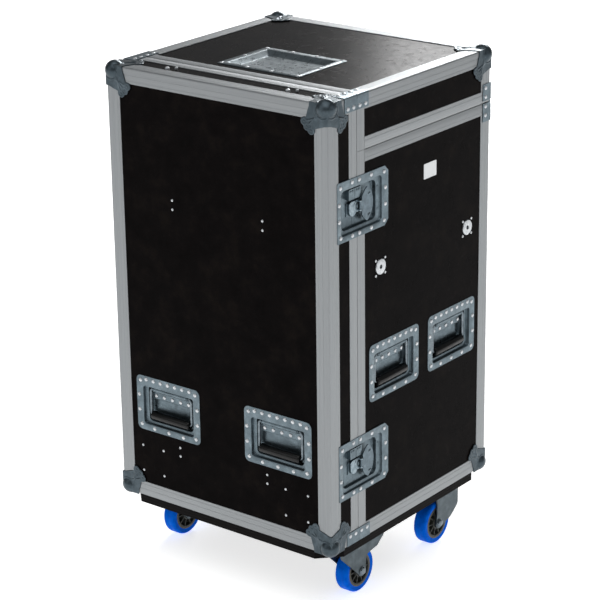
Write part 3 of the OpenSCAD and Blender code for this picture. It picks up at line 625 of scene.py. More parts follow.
def seam_section(tongue, lip=True, relieved=False):
    """x runs away from the seam, y inwards; tongue is 1, -1 for a groove, or 0."""
    g, t, web = HALF_GAP, SHEET_T, 6
    outer = [(SEAM_W, t), (SEAM_W, 0.5), (SEAM_W - 0.5, 0)]
    outer += [(SEAM_GROOVE + GROOVE_W, 0), (SEAM_GROOVE + GROOVE_W / 2, GROOVE_D), (SEAM_GROOVE, 0)]
    if relieved:                      # round the barrel of a hinge
        outer += [(4.9, 0), (4.3, 1.9), (3.3, 3.2), (1.9, 4.1), (g, 4.5)]
    else:
        outer += [(g + 1.2, 0), (g + 0.35, 0.35), (g, 1.2)]
    middle = {1: [(g, 5), (-3.6, 5.3), (-3.6, 6.7), (g, 7)], 0: [],
              -1: [(g, 4.4), (4.2, 4.4), (4.2, 7.6), (g, 7.6)]}[tongue]
    depth = INNER + t
    inner = [(g, depth), (web, depth)]
    if lip:
        inner = [(g, depth), (LIP_END, depth), (LIP_END, INNER), (web, INNER)]
    return outer + middle + inner + [(web, t)]


def bar(section, origin, along, x_axis, y_axis, length):
    """Sweeps a section; the origin is the section's own zero."""
    origin, along, x_axis, y_axis = (Vector(v) for v in (origin, along, x_axis, y_axis))
    rings = [[tuple(origin + along * s + x_axis * x + y_axis * y) for x, y in section]
             for s in (0, length)]
    return loft(rings)


def unwrap_bars(obj):
    """UVs in metres: u along the bar's longest direction, v round its section."""
    mesh = obj.data
    layer = mesh.uv_layers.new(name="bars")
    parents = list(range(len(mesh.vertices)))

    def root(i):
        while parents[i] != i:
            parents[i] = parents[parents[i]]
            i = parents[i]
        return i

    for edge in mesh.edges:
        parents[root(edge.vertices[0])] = root(edge.vertices[1])
    spans = {}
    for vertex in mesh.vertices:
        low, high = spans.setdefault(root(vertex.index), (list(vertex.co), list(vertex.co)))
        for k in range(3):
            low[k], high[k] = min(low[k], vertex.co[k]), max(high[k], vertex.co[k])
    for polygon in mesh.polygons:
        low, high = spans[root(polygon.vertices[0])]
        u = max(range(3), key=lambda k: high[k] - low[k])
        facing = max((k for k in range(3) if k != u), key=lambda k: abs(polygon.normal[k]))
        v = 3 - u - facing
        shift = 0.37 * (facing + 1) + 1.7 * (high[v] + low[u])
        for loop in polygon.loop_indices:
            co = mesh.vertices[mesh.loops[loop].vertex_index].co
            layer.data[loop].uv = (co[u], co[v] + shift)


X, Y, Z = Vector((1, 0, 0)), Vector((0, 1, 0)), Vector((0, 0, 1))
SIDES = (-1, 1)
print("angle section:", len(ANGLE_SECTION), "points; seam section:", len(seam_section(1)), "points")

# %% [markdown]
# The bars are cut to length at the corners, where the ball corners cover their ends. The upright
# seam bars stop above and below each latch, because the latch's dish sinks through them. Two small
# squares of sheet close each corner under the ball.

# %% Bars cut to length
PANEL_END = INNER + TINY
RIM_X = HW - INNER - SHEET_T - TINY
RIM_L = HD - SEAM_Y - SEAM_W - TINY
BALL_R, BALL_PROUD = 21.0, 8.5
ROOM = BALL_R - BALL_PROUD + 6        # a ball and its collar take this much of every edge
LATCH_Z = (739.6, 174.8)
LATCH_CUT = (-51.7, 48.2)
LIP = [(HALF_GAP, INNER), (LIP_END, INNER), (LIP_END, INNER + SHEET_T), (HALF_GAP, INNER + SHEET_T)]
HINGE_L = 46                          # hinges take this much of the rear seam at both ends
HINGE_ROOM = 5                        # the side rims end this far before the rear face


def side_rims(direction, tongue):
    """Rims along the sides of the lid opening, with their inner lips."""
    shapes = []
    for s in SIDES:
        shapes.append(bar(seam_section(tongue, False), (s * HW, HD - HINGE_ROOM, LID_Z),
                          -Y, Z * direction, X * -s, RIM_L - HINGE_ROOM))
        shapes.append(bar(LIP, (s * HW, HD - PANEL_END, LID_Z), -Y, Z * direction, X * -s, RIM_L - PANEL_END))
    return shapes


def rear_rims(direction):
    """Rim along the rear of the lid opening: a plain middle and ends relieved for the hinges."""
    inside = HW - HINGE_L - 0.5
    shapes = [bar(seam_section(0), (-inside, HD, LID_Z), X, Z * direction, -Y, 2 * inside)]
    for x0, x1 in ((-RIM_X, -inside), (inside, RIM_X)):
        shapes.append(bar(seam_section(0, True, True), (x0, HD, LID_Z), X, Z * direction, -Y, x1 - x0))
    return shapes


def upright_seams(direction, z0, z1, tongue):
    """Upright seam bars on both sides, in lengths between the latches."""
    cuts = sorted((ZB + z + LATCH_CUT[0], ZB + z + LATCH_CUT[1]) for z in LATCH_Z)
    edges = [z0] + [c for cut in cuts for c in cut] + [z1]
    shapes = []
    for a, b in zip(edges[::2], edges[1::2]):
        a, b = max(a, z0), min(b, z1)
        if b - a > 1:
            low, high = max(a, z0 + PANEL_END), min(b, z1 - PANEL_END)
            for s in SIDES:
                shapes.append(bar(seam_section(tongue, False), (s * HW, SEAM_Y, a),
                                  Z, Y * direction, X * -s, b - a))
                shapes.append(bar(LIP, (s * HW, SEAM_Y, low), Z, Y * direction, X * -s, high - low))
    return shapes


def inwards(x, y, z):
    """Signs that point from an edge or corner of the case towards its middle."""
    return -1 if x > 0 else 1, -1 if y > 0 else 1, -1 if z > ZB + 1 else 1


def edge_along_z(x, y, z0, z1):
    signs = inwards(x, y, z0)
    return bar(ANGLE_SECTION, (x, y, z0), Z, X * signs[0], Y * signs[1], z1 - z0)


def edge_along_x(y, z, x0, x1):
    signs = inwards(x0, y, z)
    return bar(ANGLE_SECTION, (x0, y, z), X, Y * signs[1], Z * signs[2], x1 - x0)


def edge_along_y(x, z, y0, y1):
    signs = inwards(x, y0, z)
    return bar(ANGLE_SECTION, (x, y0, z), Y, X * signs[0], Z * signs[2], y1 - y0)


def corner_sheet(x, y, z, flat):
    """Square of sheet under a ball corner, without the ball's own square."""
    signs = inwards(x, y, z)
    axes = [k for k in range(3) if "xyz"[k] != flat]
    shapes = []
    for low, high in (((ROOM, 0), (LEG, ROOM)), ((0, ROOM), (LEG, LEG))):
        a, b = [0.0] * 3, [SHEET_T] * 3
        for k, axis in enumerate(axes):
            a[axis], b[axis] = low[k], high[k]
        ends = [sorted((o + s * p, o + s * q)) for o, s, p, q in zip((x, y, z), signs, a, b)]
        shapes.append(block([e[0] for e in ends], [e[1] for e in ends]))
    return shapes


print("bars stop", ROOM, "mm from a corner; the latches cut the seam at", LATCH_Z)

# %% [markdown]
# Each part of the case gets its own set of bars, as one piece. They are unwrapped last, so the die
# lines run along every bar.

# %% Bars of the body, the cover and the lid


def edge_profiles(part, bars, body):
    """One part's bars as a single unwrapped piece."""
    unwrap_bars(piece(f"{part}_edge_profiles", bars, aluminium, body,
                      [f"{part}_extrusions"], smooth=28))


front_end, rear_from = HW - LEG - TINY, SEAM_Y + SEAM_W + TINY
body_bars = [edge_along_y(s * HW, ZB, rear_from, HD - ROOM) for s in SIDES]
body_bars += [edge_along_x(HD, ZB, -front_end, front_end)]
body_bars += [edge_along_z(s * HW, HD, ZB + LEG + TINY, LID_Z - SEAM_W - TINY) for s in SIDES]
body_bars += [c for s in SIDES for c in corner_sheet(s * HW, HD, ZB, "y")]
body_bars += upright_seams(1, ZB, LID_Z - HALF_GAP, -1)
body_bars += [bar(seam_section(-1), (-RIM_X, SEAM_Y, ZB), X, Y, Z, 2 * RIM_X)]
body_bars += side_rims(-1, -1) + rear_rims(-1)
edge_profiles("body", body_bars, "case")

cover_bars = [edge_along_z(s * HW, -HD, ZB + ROOM, ZT - ROOM) for s in SIDES]
cover_bars += [c for s in SIDES for z in (ZB, ZT) for c in corner_sheet(s * HW, -HD, z, "z")]
cover_bars += [edge_along_x(-HD, z, -front_end, front_end) for z in (ZB, ZT)]
cover_bars += [edge_along_y(s * HW, z, -HD + LEG + TINY, SEAM_Y - SEAM_W - TINY)
               for s in SIDES for z in (ZB, ZT)]
cover_bars += upright_seams(-1, ZB, ZT, 1)
cover_bars += [bar(seam_section(1), (-RIM_X, SEAM_Y, ZB), X, -Y, Z, 2 * RIM_X),
               bar(seam_section(0), (-RIM_X, SEAM_Y, ZT), X, -Y, -Z, 2 * RIM_X)]
edge_profiles("cover", cover_bars, "front_cover")

lid_bars = [edge_along_y(s * HW, ZT, rear_from, HD - ROOM) for s in SIDES]
lid_bars += [edge_along_x(HD, ZT, -front_end, front_end)]
lid_bars += [edge_along_z(s * HW, HD, LID_Z + SEAM_W + TINY, ZT - LEG - TINY) for s in SIDES]
lid_bars += [c for s in SIDES for c in corner_sheet(s * HW, HD, ZT, "y")]
lid_bars += upright_seams(1, LID_Z + HALF_GAP, ZT, -1)
lid_bars += [bar(seam_section(0), (-RIM_X, SEAM_Y, ZT), X, Y, -Z, 2 * RIM_X)]
lid_bars += side_rims(1, 1) + rear_rims(1)
edge_profiles("lid", lid_bars, "top_lid")
print("bars:", len(body_bars), "on the body,", len(cover_bars), "on the cover,", len(lid_bars), "on the lid")

# %% [markdown]
# ## Ball corners
# A ball corner is deep-drawn from one sheet: a ball takes the knocks and three leaves saddle the
# edges and spread onto the faces in three lobes. Drawing gives soft blends that separate solids
# lack, so the rough solids are fused with a voxel remesh, smoothed and thinned once. The result
# is mirrored to all eight corners.

# %% One ball corner, fused from rough solids
LEAF_T = 1.6
BALL_AT = BALL_R - BALL_PROUD
SHOULDER = BALL_AT + 4                # the leaves start here, behind the ball
CORNER_VOXEL = 0.8
COLLAR_R = math.sqrt(BALL_R ** 2 - BALL_AT ** 2) + 1.3     # just outside the ball's circle on a face
LOBES = ((57, 40), (50, 50), (40, 57))
RIBS = ([(24, 29, -1.2), (36, 33, -1.7), (50, 37.5, -1.2)],
        [(29, 24, -1.2), (33, 36, -1.7), (37.5, 50, -1.2)],
        [(27, 27, -1.2), (35, 35, -1.9), (44, 44, -1.4)])


def leaf_shapes():
    """One leaf on the face z = 0, with a raised rib from the ball to the lobes."""
    saddle = [(44, -LEAF_T), (45.5, 8), (49, 18), (52.8, 30.6), (57, 31.4)]
    outline = [(14, 14), (SHOULDER, 3.5), (SHOULDER + 3, -LEAF_T)] + saddle + [(60, 48), (48, 60)]
    outline += [(y, x) for x, y in reversed(saddle)] + [(-LEAF_T, SHOULDER + 3), (3.5, SHOULDER)]
    shapes = [prism(outline, -LEAF_T, 0.4)]
    shapes += [prism(disc(x, y, 9), -LEAF_T, 0.4) for x, y in LOBES]
    shapes += [tube(path, 1.5, 8) for path in RIBS]
    # a pressed bead round each lobe's rivet
    shapes += [tube(at_height(disc(x, y, 6.4, 20), -1.3), 0.9, 6, closed=True) for x, y in LOBES]
    return shapes


def corner_rough(with_floor_leaf):
    """Rough solids of the corner at the lower front left; the case is in the + + + octant."""
    ball = moved(lathe([(BALL_R * math.sin(a), -BALL_R * math.cos(a))
                        for a in (math.pi * k / 24 for k in range(25))], 48), BALL_AT, BALL_AT, BALL_AT)
    # a rounded collar where the sheet turns up to the ball
    ring = tube([(BALL_AT + COLLAR_R * math.cos(a), BALL_AT + COLLAR_R * math.sin(a), -0.8)
                 for a in (math.radians(d) for d in range(-36, 127, 9))], 1.8, 8)
    shapes = [ball]
    for matrix in [ONTO_Y, ONTO_X] + ([Matrix.Identity(3)] if with_floor_leaf else []):
        shapes += [moved(s, turn=matrix) for s in leaf_shapes() + [ring]]
    return shapes


def fused_corner(with_floor_leaf):
    """Points and faces of the finished corner, in millimetres."""
    bm = solid(corner_rough(with_floor_leaf))
    bmesh.ops.recalc_face_normals(bm, faces=bm.faces)
    rough_mesh = bpy.data.meshes.new("corner_rough")
    bm.to_mesh(rough_mesh)
    bm.free()
    rough = add_object("corner_rough", rough_mesh)
    remesh = rough.modifiers.new("fuse", "REMESH")
    remesh.mode, remesh.voxel_size = "VOXEL", CORNER_VOXEL
    soften = rough.modifiers.new("soften", "SMOOTH")
    soften.factor, soften.iterations = 0.5, 3
    thin = rough.modifiers.new("thin", "DECIMATE")
    thin.ratio = 0.35
    helpers = [rough]
    # three blocks hollow the inside of the case and leave the ball's own cube full
    skin, far = 0.3, (90, 90, 90)
    for low in ((BALL_AT, skin, skin), (skin, BALL_AT, skin), (skin, skin, BALL_AT)):
        inside, inside_faces = block(low, far)
        cut_mesh = bpy.data.meshes.new("corner_cut")
        cut_mesh.from_pydata(inside, [], inside_faces)
        cut = add_object("corner_cut", cut_mesh)
        helpers.append(cut)
        hollow = rough.modifiers.new("hollow", "BOOLEAN")
        hollow.operation, hollow.object, hollow.solver = "DIFFERENCE", cut, "EXACT"
    bpy.context.view_layer.update()
    evaluated = rough.evaluated_get(bpy.context.evaluated_depsgraph_get())
    mesh = evaluated.to_mesh()
    points = [tuple(v.co) for v in mesh.vertices]
    faces = [tuple(p.vertices) for p in mesh.polygons]
    evaluated.to_mesh_clear()
    for helper in helpers:
        bpy.data.objects.remove(helper)
    return points, faces


CORNER_WITH_FLOOR, CORNER_WITHOUT = fused_corner(True), fused_corner(False)
print("corner mesh:", len(CORNER_WITH_FLOOR[1]), "faces")

# %% [markdown]
# The corner is placed eight times. The two at the rear bottom and the two at the front bottom
# have no leaf under the floor, where the castor board sits. Small dimpled rivets hold the lobes.

# %% Corners on the case
LOBE_RIVET = lathe([(0, -2.3), (1.6, -2.2), (2.7, -1.7), (3.0, -1.2), (3.0, -0.4), (0, -0.4)], 16)


def corner_piece(master, x, y, z):
    """The master corner mirrored to one corner of the case, with its rivets."""
    mirror = Matrix.Translation((x, y, z)) @ Matrix.Diagonal((*inwards(x, y, z), 1))
    turns = [ONTO_Y, ONTO_X] + ([Matrix.Identity(3)] if master is CORNER_WITH_FLOOR else [])
    heads = [moved(moved(LOBE_RIVET, u, v), turn=turn) for turn in turns for u, v in LOBES]
    return on_place(mirror, [master] + heads)


cover_corner_shapes = [s for x in (-HW, HW) for z in (ZB, ZT)
                       for s in corner_piece(CORNER_WITH_FLOOR if z > ZB else CORNER_WITHOUT, x, -HD, z)]
piece("cover_ball_corners", cover_corner_shapes, corner_steel, "front_cover",
      ["cover_corners"], smooth=60)
piece("body_ball_corners", [s for x in (-HW, HW) for s in corner_piece(CORNER_WITHOUT, x, HD, ZB)],
      corner_steel, "case", ["body_corners"], smooth=60)
piece("lid_ball_corners", [s for x in (-HW, HW) for s in corner_piece(CORNER_WITH_FLOOR, x, HD, ZT)],
      corner_steel, "top_lid", ["lid_corners"], smooth=60)
print("ball corners placed:", 8)

# %% [markdown]
# ## Braces, hinges and rivets
# Short angle plates wrap the long edges on each side of the seam. At the rear the same plates
# carry hinge knuckles. Rivets are domed heads about 9 mm across with a flat rim.

# %% Braces and hinges
BRACE_T = 1.5
RIVET_R, RIVET_H = 4.6, 1.8
RIVET = lathe([(0, RIVET_H), (2, RIVET_H - 0.1), (3.2, RIVET_H - 0.38), (4.1, RIVET_H - 0.85),
               (RIVET_R, RIVET_H - 1.4), (RIVET_R, 0), (0, 0)], 20)


def rivets(spots, z=0.0, shape=None):
    return [moved(shape or RIVET, u, v, z) for u, v in spots]


def wrap_section(leg_side, leg_top):
    """Angle with a rounded outer and inner nose, x out of the side and y out of the top, mm."""
    t, r = BRACE_T, 2.6
    outer = [(t - r + r * math.cos(a), t - r + r * math.sin(a))
             for a in (math.radians(90 * k / 5) for k in range(6))]
    return [(0, -leg_side), (t, -leg_side)] + outer + [(-leg_top, t), (-leg_top, 0), (0, 0)]


def brace_shapes(y0, y1, top):
    shapes = []
    for s in SIDES:
        if top:
            shapes.append(bar(wrap_section(30, 30), (s * HW, y0, ZT), Y, X * s, Z, y1 - y0))
        else:
            low, high = sorted((s * HW, s * (HW + BRACE_T)))
            shapes.append(block((low, y0, ZB + 1), (high, y1, ZB + 30)))
    return shapes


def hinge_shapes(side):
    """Plates and knuckles of both hinges; side 1 on the lid, -1 on the body."""
    shapes = []
    start, reach, barrel_from, barrel_r = (4.8 if side > 0 else 0.6), 41.5, 5.4, 4.2
    knuckles = ((-45.5, 11), (-12.5, 11)) if side > 0 else ((-34, 21),)
    for s in SIDES:
        def spot(x, y, z, s=s):
            return (s * (HW + x), HD + y, LID_Z + side * z)

        def flat(a, b):
            p, q = spot(*a), spot(*b)
            return block([min(m, n) for m, n in zip(p, q)], [max(m, n) for m, n in zip(p, q)])

        shapes.append(flat((0, -28.5, start), (BRACE_T, 0, reach)))
        shapes.append(flat((-HINGE_L, 0, barrel_from), (BRACE_T, BRACE_T, reach)))
        for x, length in knuckles:
            shapes.append(flat((x, 0.2, 0), (x + length, BRACE_T, 6)))
            turned = lathe([(0, 0), (barrel_r - 0.3, 0), (barrel_r, 0.3), (barrel_r, length - 0.3),
                            (barrel_r - 0.3, length), (0, length)], 24)
            x0 = min(spot(x, 0, 0)[0], spot(x + length, 0, 0)[0])
            shapes.append(moved(turned, x0, HD + 0.2, LID_Z, LIE_X))
    return shapes


piece("body_brace_plates", brace_shapes(SEAM_Y + 0.3, SEAM_Y + 39, False) + hinge_shapes(-1),
      pressed_steel, "case", ["body_braces"], bevel=0.35)
piece("lid_brace_plates", brace_shapes(SEAM_Y + 0.3, SEAM_Y + 39, True) + hinge_shapes(1),
      pressed_steel, "top_lid", ["lid_braces"], bevel=0.35)
cover_braces = brace_shapes(SEAM_Y - 41, SEAM_Y - 0.3, False) + brace_shapes(SEAM_Y - 41, SEAM_Y - 0.3, True)
piece("cover_brace_plates", cover_braces, pressed_steel, "front_cover",
      ["cover_braces"], bevel=0.35)
print("brace plates reach", round(SEAM_Y + 39, 1), "mm back; hinge barrels at height", round(LID_Z, 1))

# %% [markdown]
# All rivets of one body make one piece. Their places repeat on both sides, so each pattern is a
# list of spots in the hardware's own frame, and the list is laid on every place that has it.

# %% Rivets
SIDE_HANDLES = [(face, y, 362.5) for face in ("right", "left") for y in (-63, 150)]
FRONT_HANDLES = [("front", x, 224) for x in (-150.5, 150.5)]
LATCHES = [(face, SEAM_Y, z) for face in ("right", "left") for z in LATCH_Z]
HANDLE_SPOTS = [(sx * 77, v) for sx in SIDES for v in (51.5, -51)]
HANDLE_SPOTS += [(-61 + 20.3 * k, 55.7) for k in range(7)]
HANDLE_SPOTS += [(sx * 82, sv * 17.5) for sx in SIDES for sv in SIDES] + [(u, -55.8) for u in (-41, 0, 41)]
STRAP_X, STRAP_Z = 52, -15.1          # half length and face of the strap behind the bail


def handle_rivets():
    return rivets(HANDLE_SPOTS, -0.2) + rivets([(-46 + 23 * k, 16.5) for k in range(5)], STRAP_Z)


def side_spots(spots):
    """The same rivets on both sides, at (y, height over the underside)."""
    return [s for face in ("right", "left") for s in on_place(place(face, 0, 0), rivets(spots, BRACE_T))]


def on_all(places, shapes):
    """The same shapes on every place."""
    return [s for where in places for s in on_place(place(*where), shapes)]


def brace_rivets(offsets, top):
    up_mm = ZT - ZB - 22 if top else 22
    shapes = side_spots([(SEAM_Y + o, up_mm) for o in offsets])
    if top:
        spots = [(s * (HW - 22), SEAM_Y + o) for s in SIDES for o in offsets]
        shapes += on_place(place("top", 0, 0), rivets(spots, BRACE_T))
    return shapes


body_rivet_shapes = on_all(SIDE_HANDLES, handle_rivets())
LATCH_BODY_SPOTS = [(u, v) for u in (6.4, 47) for v in (-56, 56)]
LATCH_BODY_SPOTS += [(91.2, -51.8), (91.2, 51.8), (95.6, -17.5), (95.6, 17.5)]
LATCH_COVER_SPOTS = [(-17.5, -56), (-17.5, 56), (-56.5, -52), (-56.5, 52), (-61, -17.2), (-61, 17.2)]
body_rivet_shapes += on_all(LATCHES, rivets(LATCH_BODY_SPOTS, 1.2))
body_rivet_shapes += brace_rivets((9.1, 28.4), False)
body_rivet_shapes += side_spots([(HD - 19, LID_Z - ZB - d) for d in (7.5, 27)])
BOSSES = [(face, y, 590) for face in ("right", "left") for y in (-112.3, 206.4)]
# small cross-head screws round each socket
SCREW = lathe([(0, 0.1), (0.9, 0.1), (1.2, 0.35), (2.2, 0.3), (2.9, 0), (3.0, -0.5), (3.0, -1.6),
               (0, -1.6)], 18)
SCREW_AT = 16.3
screws = rivets([(su * SCREW_AT, sv * SCREW_AT) for su in SIDES for sv in SIDES], 0.1, SCREW)
body_rivet_shapes += on_all(BOSSES, screws)
piece("body_rivet_heads", body_rivet_shapes, rivet_steel, "case", ["body_rivets"], smooth=50)

lid_rivet_shapes = brace_rivets((9.1, 28.4), True)
lid_rivet_shapes += side_spots([(HD - 19, LID_Z - ZB + d) for d in (13.5, 33)])
lid_rivet_shapes += on_place(place("top", 0, -62), rivets(
    [(x, sv * 77) for x in (-100, -32, 32, 100) for sv in SIDES] + [(-100, 0), (100, 0)], -0.2))
piece("lid_rivet_heads", lid_rivet_shapes, rivet_steel, "top_lid", ["lid_rivets"], smooth=50)

cover_rivet_shapes = on_all(FRONT_HANDLES, handle_rivets())
cover_rivet_shapes += on_all(LATCHES, rivets(LATCH_COVER_SPOTS, 1.2))
cover_rivet_shapes += brace_rivets((-30.6, -11.7), True) + brace_rivets((-30.6, -11.7), False)
SMALL_HEAD = lathe([(0, 0), (1.8, -0.15), (2.8, -0.6), (3.0, -0.9), (3.0, -1.6), (0, -1.6)], 18)
small_spots = [(s * x, z) for s in SIDES for x in (169, 228) for z in (61.5, 121.4)]
small_spots += [(s * 120.2, z) for s in SIDES for z in (121.3, 141.4, 682.5, 702.4)]
cover_rivet_shapes += on_place(place("front", 0, 0), rivets(small_spots, 0, SMALL_HEAD))
pin = lathe([(0, 3.9), (3.2, 3.9), (4.4, 3.3), (5, 2.2), (5, -1.6), (0, -1.6)], 24)
stud = lathe([(0, 2.9), (2.4, 2.9), (3.3, 2.4), (3.5, 1.6), (3.5, -1.6), (0, -1.6)], 20)
for s in SIDES:
    cover_rivet_shapes += on_place(place("top", 0, 0), [moved(pin, s * 158, SEAM_Y - 52),
                                                        moved(stud, s * 158 + 14.5, SEAM_Y - 40)])
piece("cover_rivet_heads", cover_rivet_shapes, rivet_steel, "front_cover", ["cover_fixings"],
      smooth=50)
print("rivets on one handle dish:", len(HANDLE_SPOTS) + 5)

# %% [markdown]
# ## Handle dishes and grips
# The dish is one pressing: a riveted flange, a shallow step along the bottom for the fingers and a
# deep pocket. The sheet can't bend sharply, so each level is a loop with its own radius and the
# loops are skinned in order. The bail swings in a tube on the back wall.

# %% Handle dish, bail and grip
DISH_BOX = (-89, -63.5, 89, 63.5)
DISH_OPEN = (-70.5, -48, 70.5, 39.5)
DISH_FLOOR = (-62, -42, 62, 39.5)
DISH_STEP, DISH_DEEP, DISH_T = 9, 22, 1.4


def inset(box, d, keep_top):
    """Box drawn in by d; a dish whose two levels share their top wall keeps it."""
    return (box[0] + d, box[1] + d, box[2] - d, box[3] - (0 if keep_top else d))


def dish_levels(rim, open_box, open_r, floor_box, floor_r, step, deep, top, keep_top=False):
    """Loops down the inside from the flange's rim, and back up the outside."""
    t = DISH_T
    inner = [(*rim, -1.6), (*rim, top - 0.35), (grown(rim[0], -0.35), rim[1], top)]
    inner += [(grown(open_box, 2), open_r + 2, top), (grown(open_box, 0.6), open_r + 0.6, top - 0.6),
              (open_box, open_r, top - 2), (open_box, open_r, -step + 2),
              (inset(open_box, 0.6, keep_top), open_r, -step + 0.6),
              (inset(open_box, 2, keep_top), open_r, -step)]
    inner += [(inset(floor_box, -1.6, keep_top), floor_r + 1.6, -step),
              (inset(floor_box, -0.5, keep_top), floor_r + 0.5, -step - 0.5),
              (floor_box, floor_r, -step - 1.8), (floor_box, floor_r, -deep + 3),
              (grown(floor_box, -0.9), floor_r, -deep + 0.9), (grown(floor_box, -3), floor_r - 1, -deep)]
    outer = [(grown(floor_box, -2), floor_r - 1, -deep - t), (grown(floor_box, t), floor_r + t, -deep + 1),
             (grown(floor_box, t), floor_r + t, -step - t), (grown(open_box, t), open_r + t, -step - t),
             (grown(open_box, t), open_r + t, -1.6)]
    return inner, outer


def closed_pressing(inner, outer, outline=round_rect):
    """The pressing as one watertight skin: down the inside, across the floor and up the outside."""
    loops = [at_height((outline if k < 3 else round_rect)(box, r), z) for k, (box, r, z) in enumerate(inner)]
    back = [at_height(round_rect(box, r), z) for box, r, z in outer]
    n = len(loops[0])
    points, faces = loft(loops, capped=False)
    more, more_faces = loft(back, capped=False)
    shift = len(points)
    faces += [tuple(i + shift for i in f) for f in more_faces]
    points += more
    faces.append(tuple(range((len(loops) - 1) * n, len(loops) * n)))
    faces.append(tuple(shift + i for i in range(n))[::-1])
    last = shift + (len(back) - 1) * n
    faces += [(i, (i + 1) % n, last + (i + 1) % n, last + i) for i in range(n)]
    return points, faces


STRAP_TURN = Matrix(((0, 0, 1), (0, 1, 0), (1, 0, 0)))      # outline (z, y) swept along x


def handle_dish_shapes():
    shapes = [closed_pressing(*dish_levels((DISH_BOX, 12), DISH_OPEN, 6, DISH_FLOOR, 9,
                                           DISH_STEP, DISH_DEEP, -0.2, keep_top=True))]
    # bail tube on its strap
    sleeve = lathe([(3.6, -46), (5.5, -46), (5.9, -45.5), (5.9, 45.5), (5.5, 46), (3.6, 46)], 28)
    shapes.append(moved(sleeve, 0, 33, -11, LIE_X))
    # the strap is folded back to the floor at both ends and along its foot
    strap = [(7.2, -22), (8.6, STRAP_Z - 0.8), (9.6, STRAP_Z), (37, STRAP_Z),
             (37, STRAP_Z - 1.5), (10.4, STRAP_Z - 1.5), (8.6, -22)]
    shapes.append(moved(plate([[(z, v) for v, z in strap]], -STRAP_X, STRAP_X), turn=STRAP_TURN))
    shapes += [block((sx * STRAP_X - 0.75, 8.6, -22), (sx * STRAP_X + 0.75, 37, STRAP_Z - 0.4))
               for sx in SIDES]
    shapes.append(block((-46, 30, -22), (46, 36, -15)))
    shapes += [tube(coil(s * 46.5, s * 51, 4.6, 4), 0.5, 6) for s in SIDES]
    return shapes


def bail_path(top_v=33, low_v=-29, half=57.5, z=-11, r=8, steps=6):
    """The wire's centre line, counterclockwise from the lower right."""
    path = []
    for x, v, start in ((half, low_v, -90), (half, top_v, 0), (-half, top_v, 90), (-half, low_v, 180)):
        cx, cv = x - math.copysign(r, x), v - math.copysign(r, v)
        for a in (math.radians(start + 90 * i / steps) for i in range(steps + 1)):
            path.append((cx + r * math.cos(a), cv + r * math.sin(a), z))
    return path


def coil(x0, x1, radius, turns, v=33, z=-11, steps=14):
    """Centre line of a spring round the hinge axis."""
    return [(x0 + (x1 - x0) * k / (turns * steps), v + radius * math.cos(math.tau * k / steps),
             z + radius * math.sin(math.tau * k / steps)) for k in range(turns * steps + 1)]


WIRE_R, GRIP_R, GRIP_HALF = 3.5, 10.2, 53.5
grip_profile = [(WIRE_R, -GRIP_HALF), (7.4, -GRIP_HALF), (8.9, -GRIP_HALF + 0.7), (9.8, -GRIP_HALF + 2),
                (GRIP_R, -GRIP_HALF + 4)]
grip_profile += [(r, -z) for r, z in reversed(grip_profile)]
GRIP = moved(lathe(grip_profile, 40), 0, -29, -11, LIE_X)

for part, handles, body in (("front", FRONT_HANDLES, "front_cover"), ("side", SIDE_HANDLES, "case")):
    piece(f"{part}_handle_pressings", on_all(handles, handle_dish_shapes()), pressed_steel, body,
          [f"{part}_handle_dishes"])
for number, where in enumerate(FRONT_HANDLES + SIDE_HANDLES, 1):
    body = f"handle_{number}"
    piece(f"{body}_wire", [tube(bail_path(), WIRE_R, 14, closed=True)], wire_steel, body,
          [f"handle_bail_{number}"], at=place(*where), smooth=60)
    piece(f"{body}_rubber_grip", [GRIP], grip_rubber, body, [f"handle_grip_{number}"],
          at=place(*where), smooth=40)
print("handles made:", len(FRONT_HANDLES + SIDE_HANDLES))

# %% [markdown]
# ## Butterfly latches
# Each latch is a dish cut in two by the seam. The body's half holds a turning hook, the cover's
# half a keeper. The wing folds flat over the works, and it is lifted and turned to wind the hook
# round the keeper.

# %% Latch dishes and keepers
LATCH_RIM = (-67, -63.5, 106, 63.5)
LATCH_OPEN, LATCH_FLOOR = (-55, -50, 84, 46.5), (-46, -42, 70, 40)
LATCH_STEP, LATCH_DEEP, LATCH_CHAMFER = 5, 14, 12
AXIS = (12, -2)
WING_HINGE = (15, -3)


def clipped_rect(box, r, steps=5):
    """Outline of the latch's flange: rear corners clipped, front ones rounded by r."""
    x0, y0, x1, y1 = box
    c = LATCH_CHAMFER - (LATCH_RIM[2] - x1) * 0.6
    points = [(x1 - c * k / steps, y1 - c + c * k / steps) for k in range(steps + 1)]
    points += round_rect(box, r, steps)[steps + 1:3 * (steps + 1)]
    return points + [(x1 - c + c * k / steps, y0 + c * k / steps) for k in range(steps + 1)]


def halved(shape, side):
    """The part of a shape on one side of the seam, closed with a flat face."""
    bm = solid([shape])
    bmesh.ops.bisect_plane(bm, geom=bm.verts[:] + bm.edges[:] + bm.faces[:], clear_outer=True,
                           plane_co=(side * HALF_GAP, 0, 0), plane_no=(-side, 0, 0))
    bmesh.ops.triangle_fill(bm, edges=[e for e in bm.edges if e.is_boundary], use_beauty=True)
    bm.verts.index_update()
    result = [tuple(v.co) for v in bm.verts], [tuple(v.index for v in f.verts) for f in bm.faces]
    bm.free()
    return result


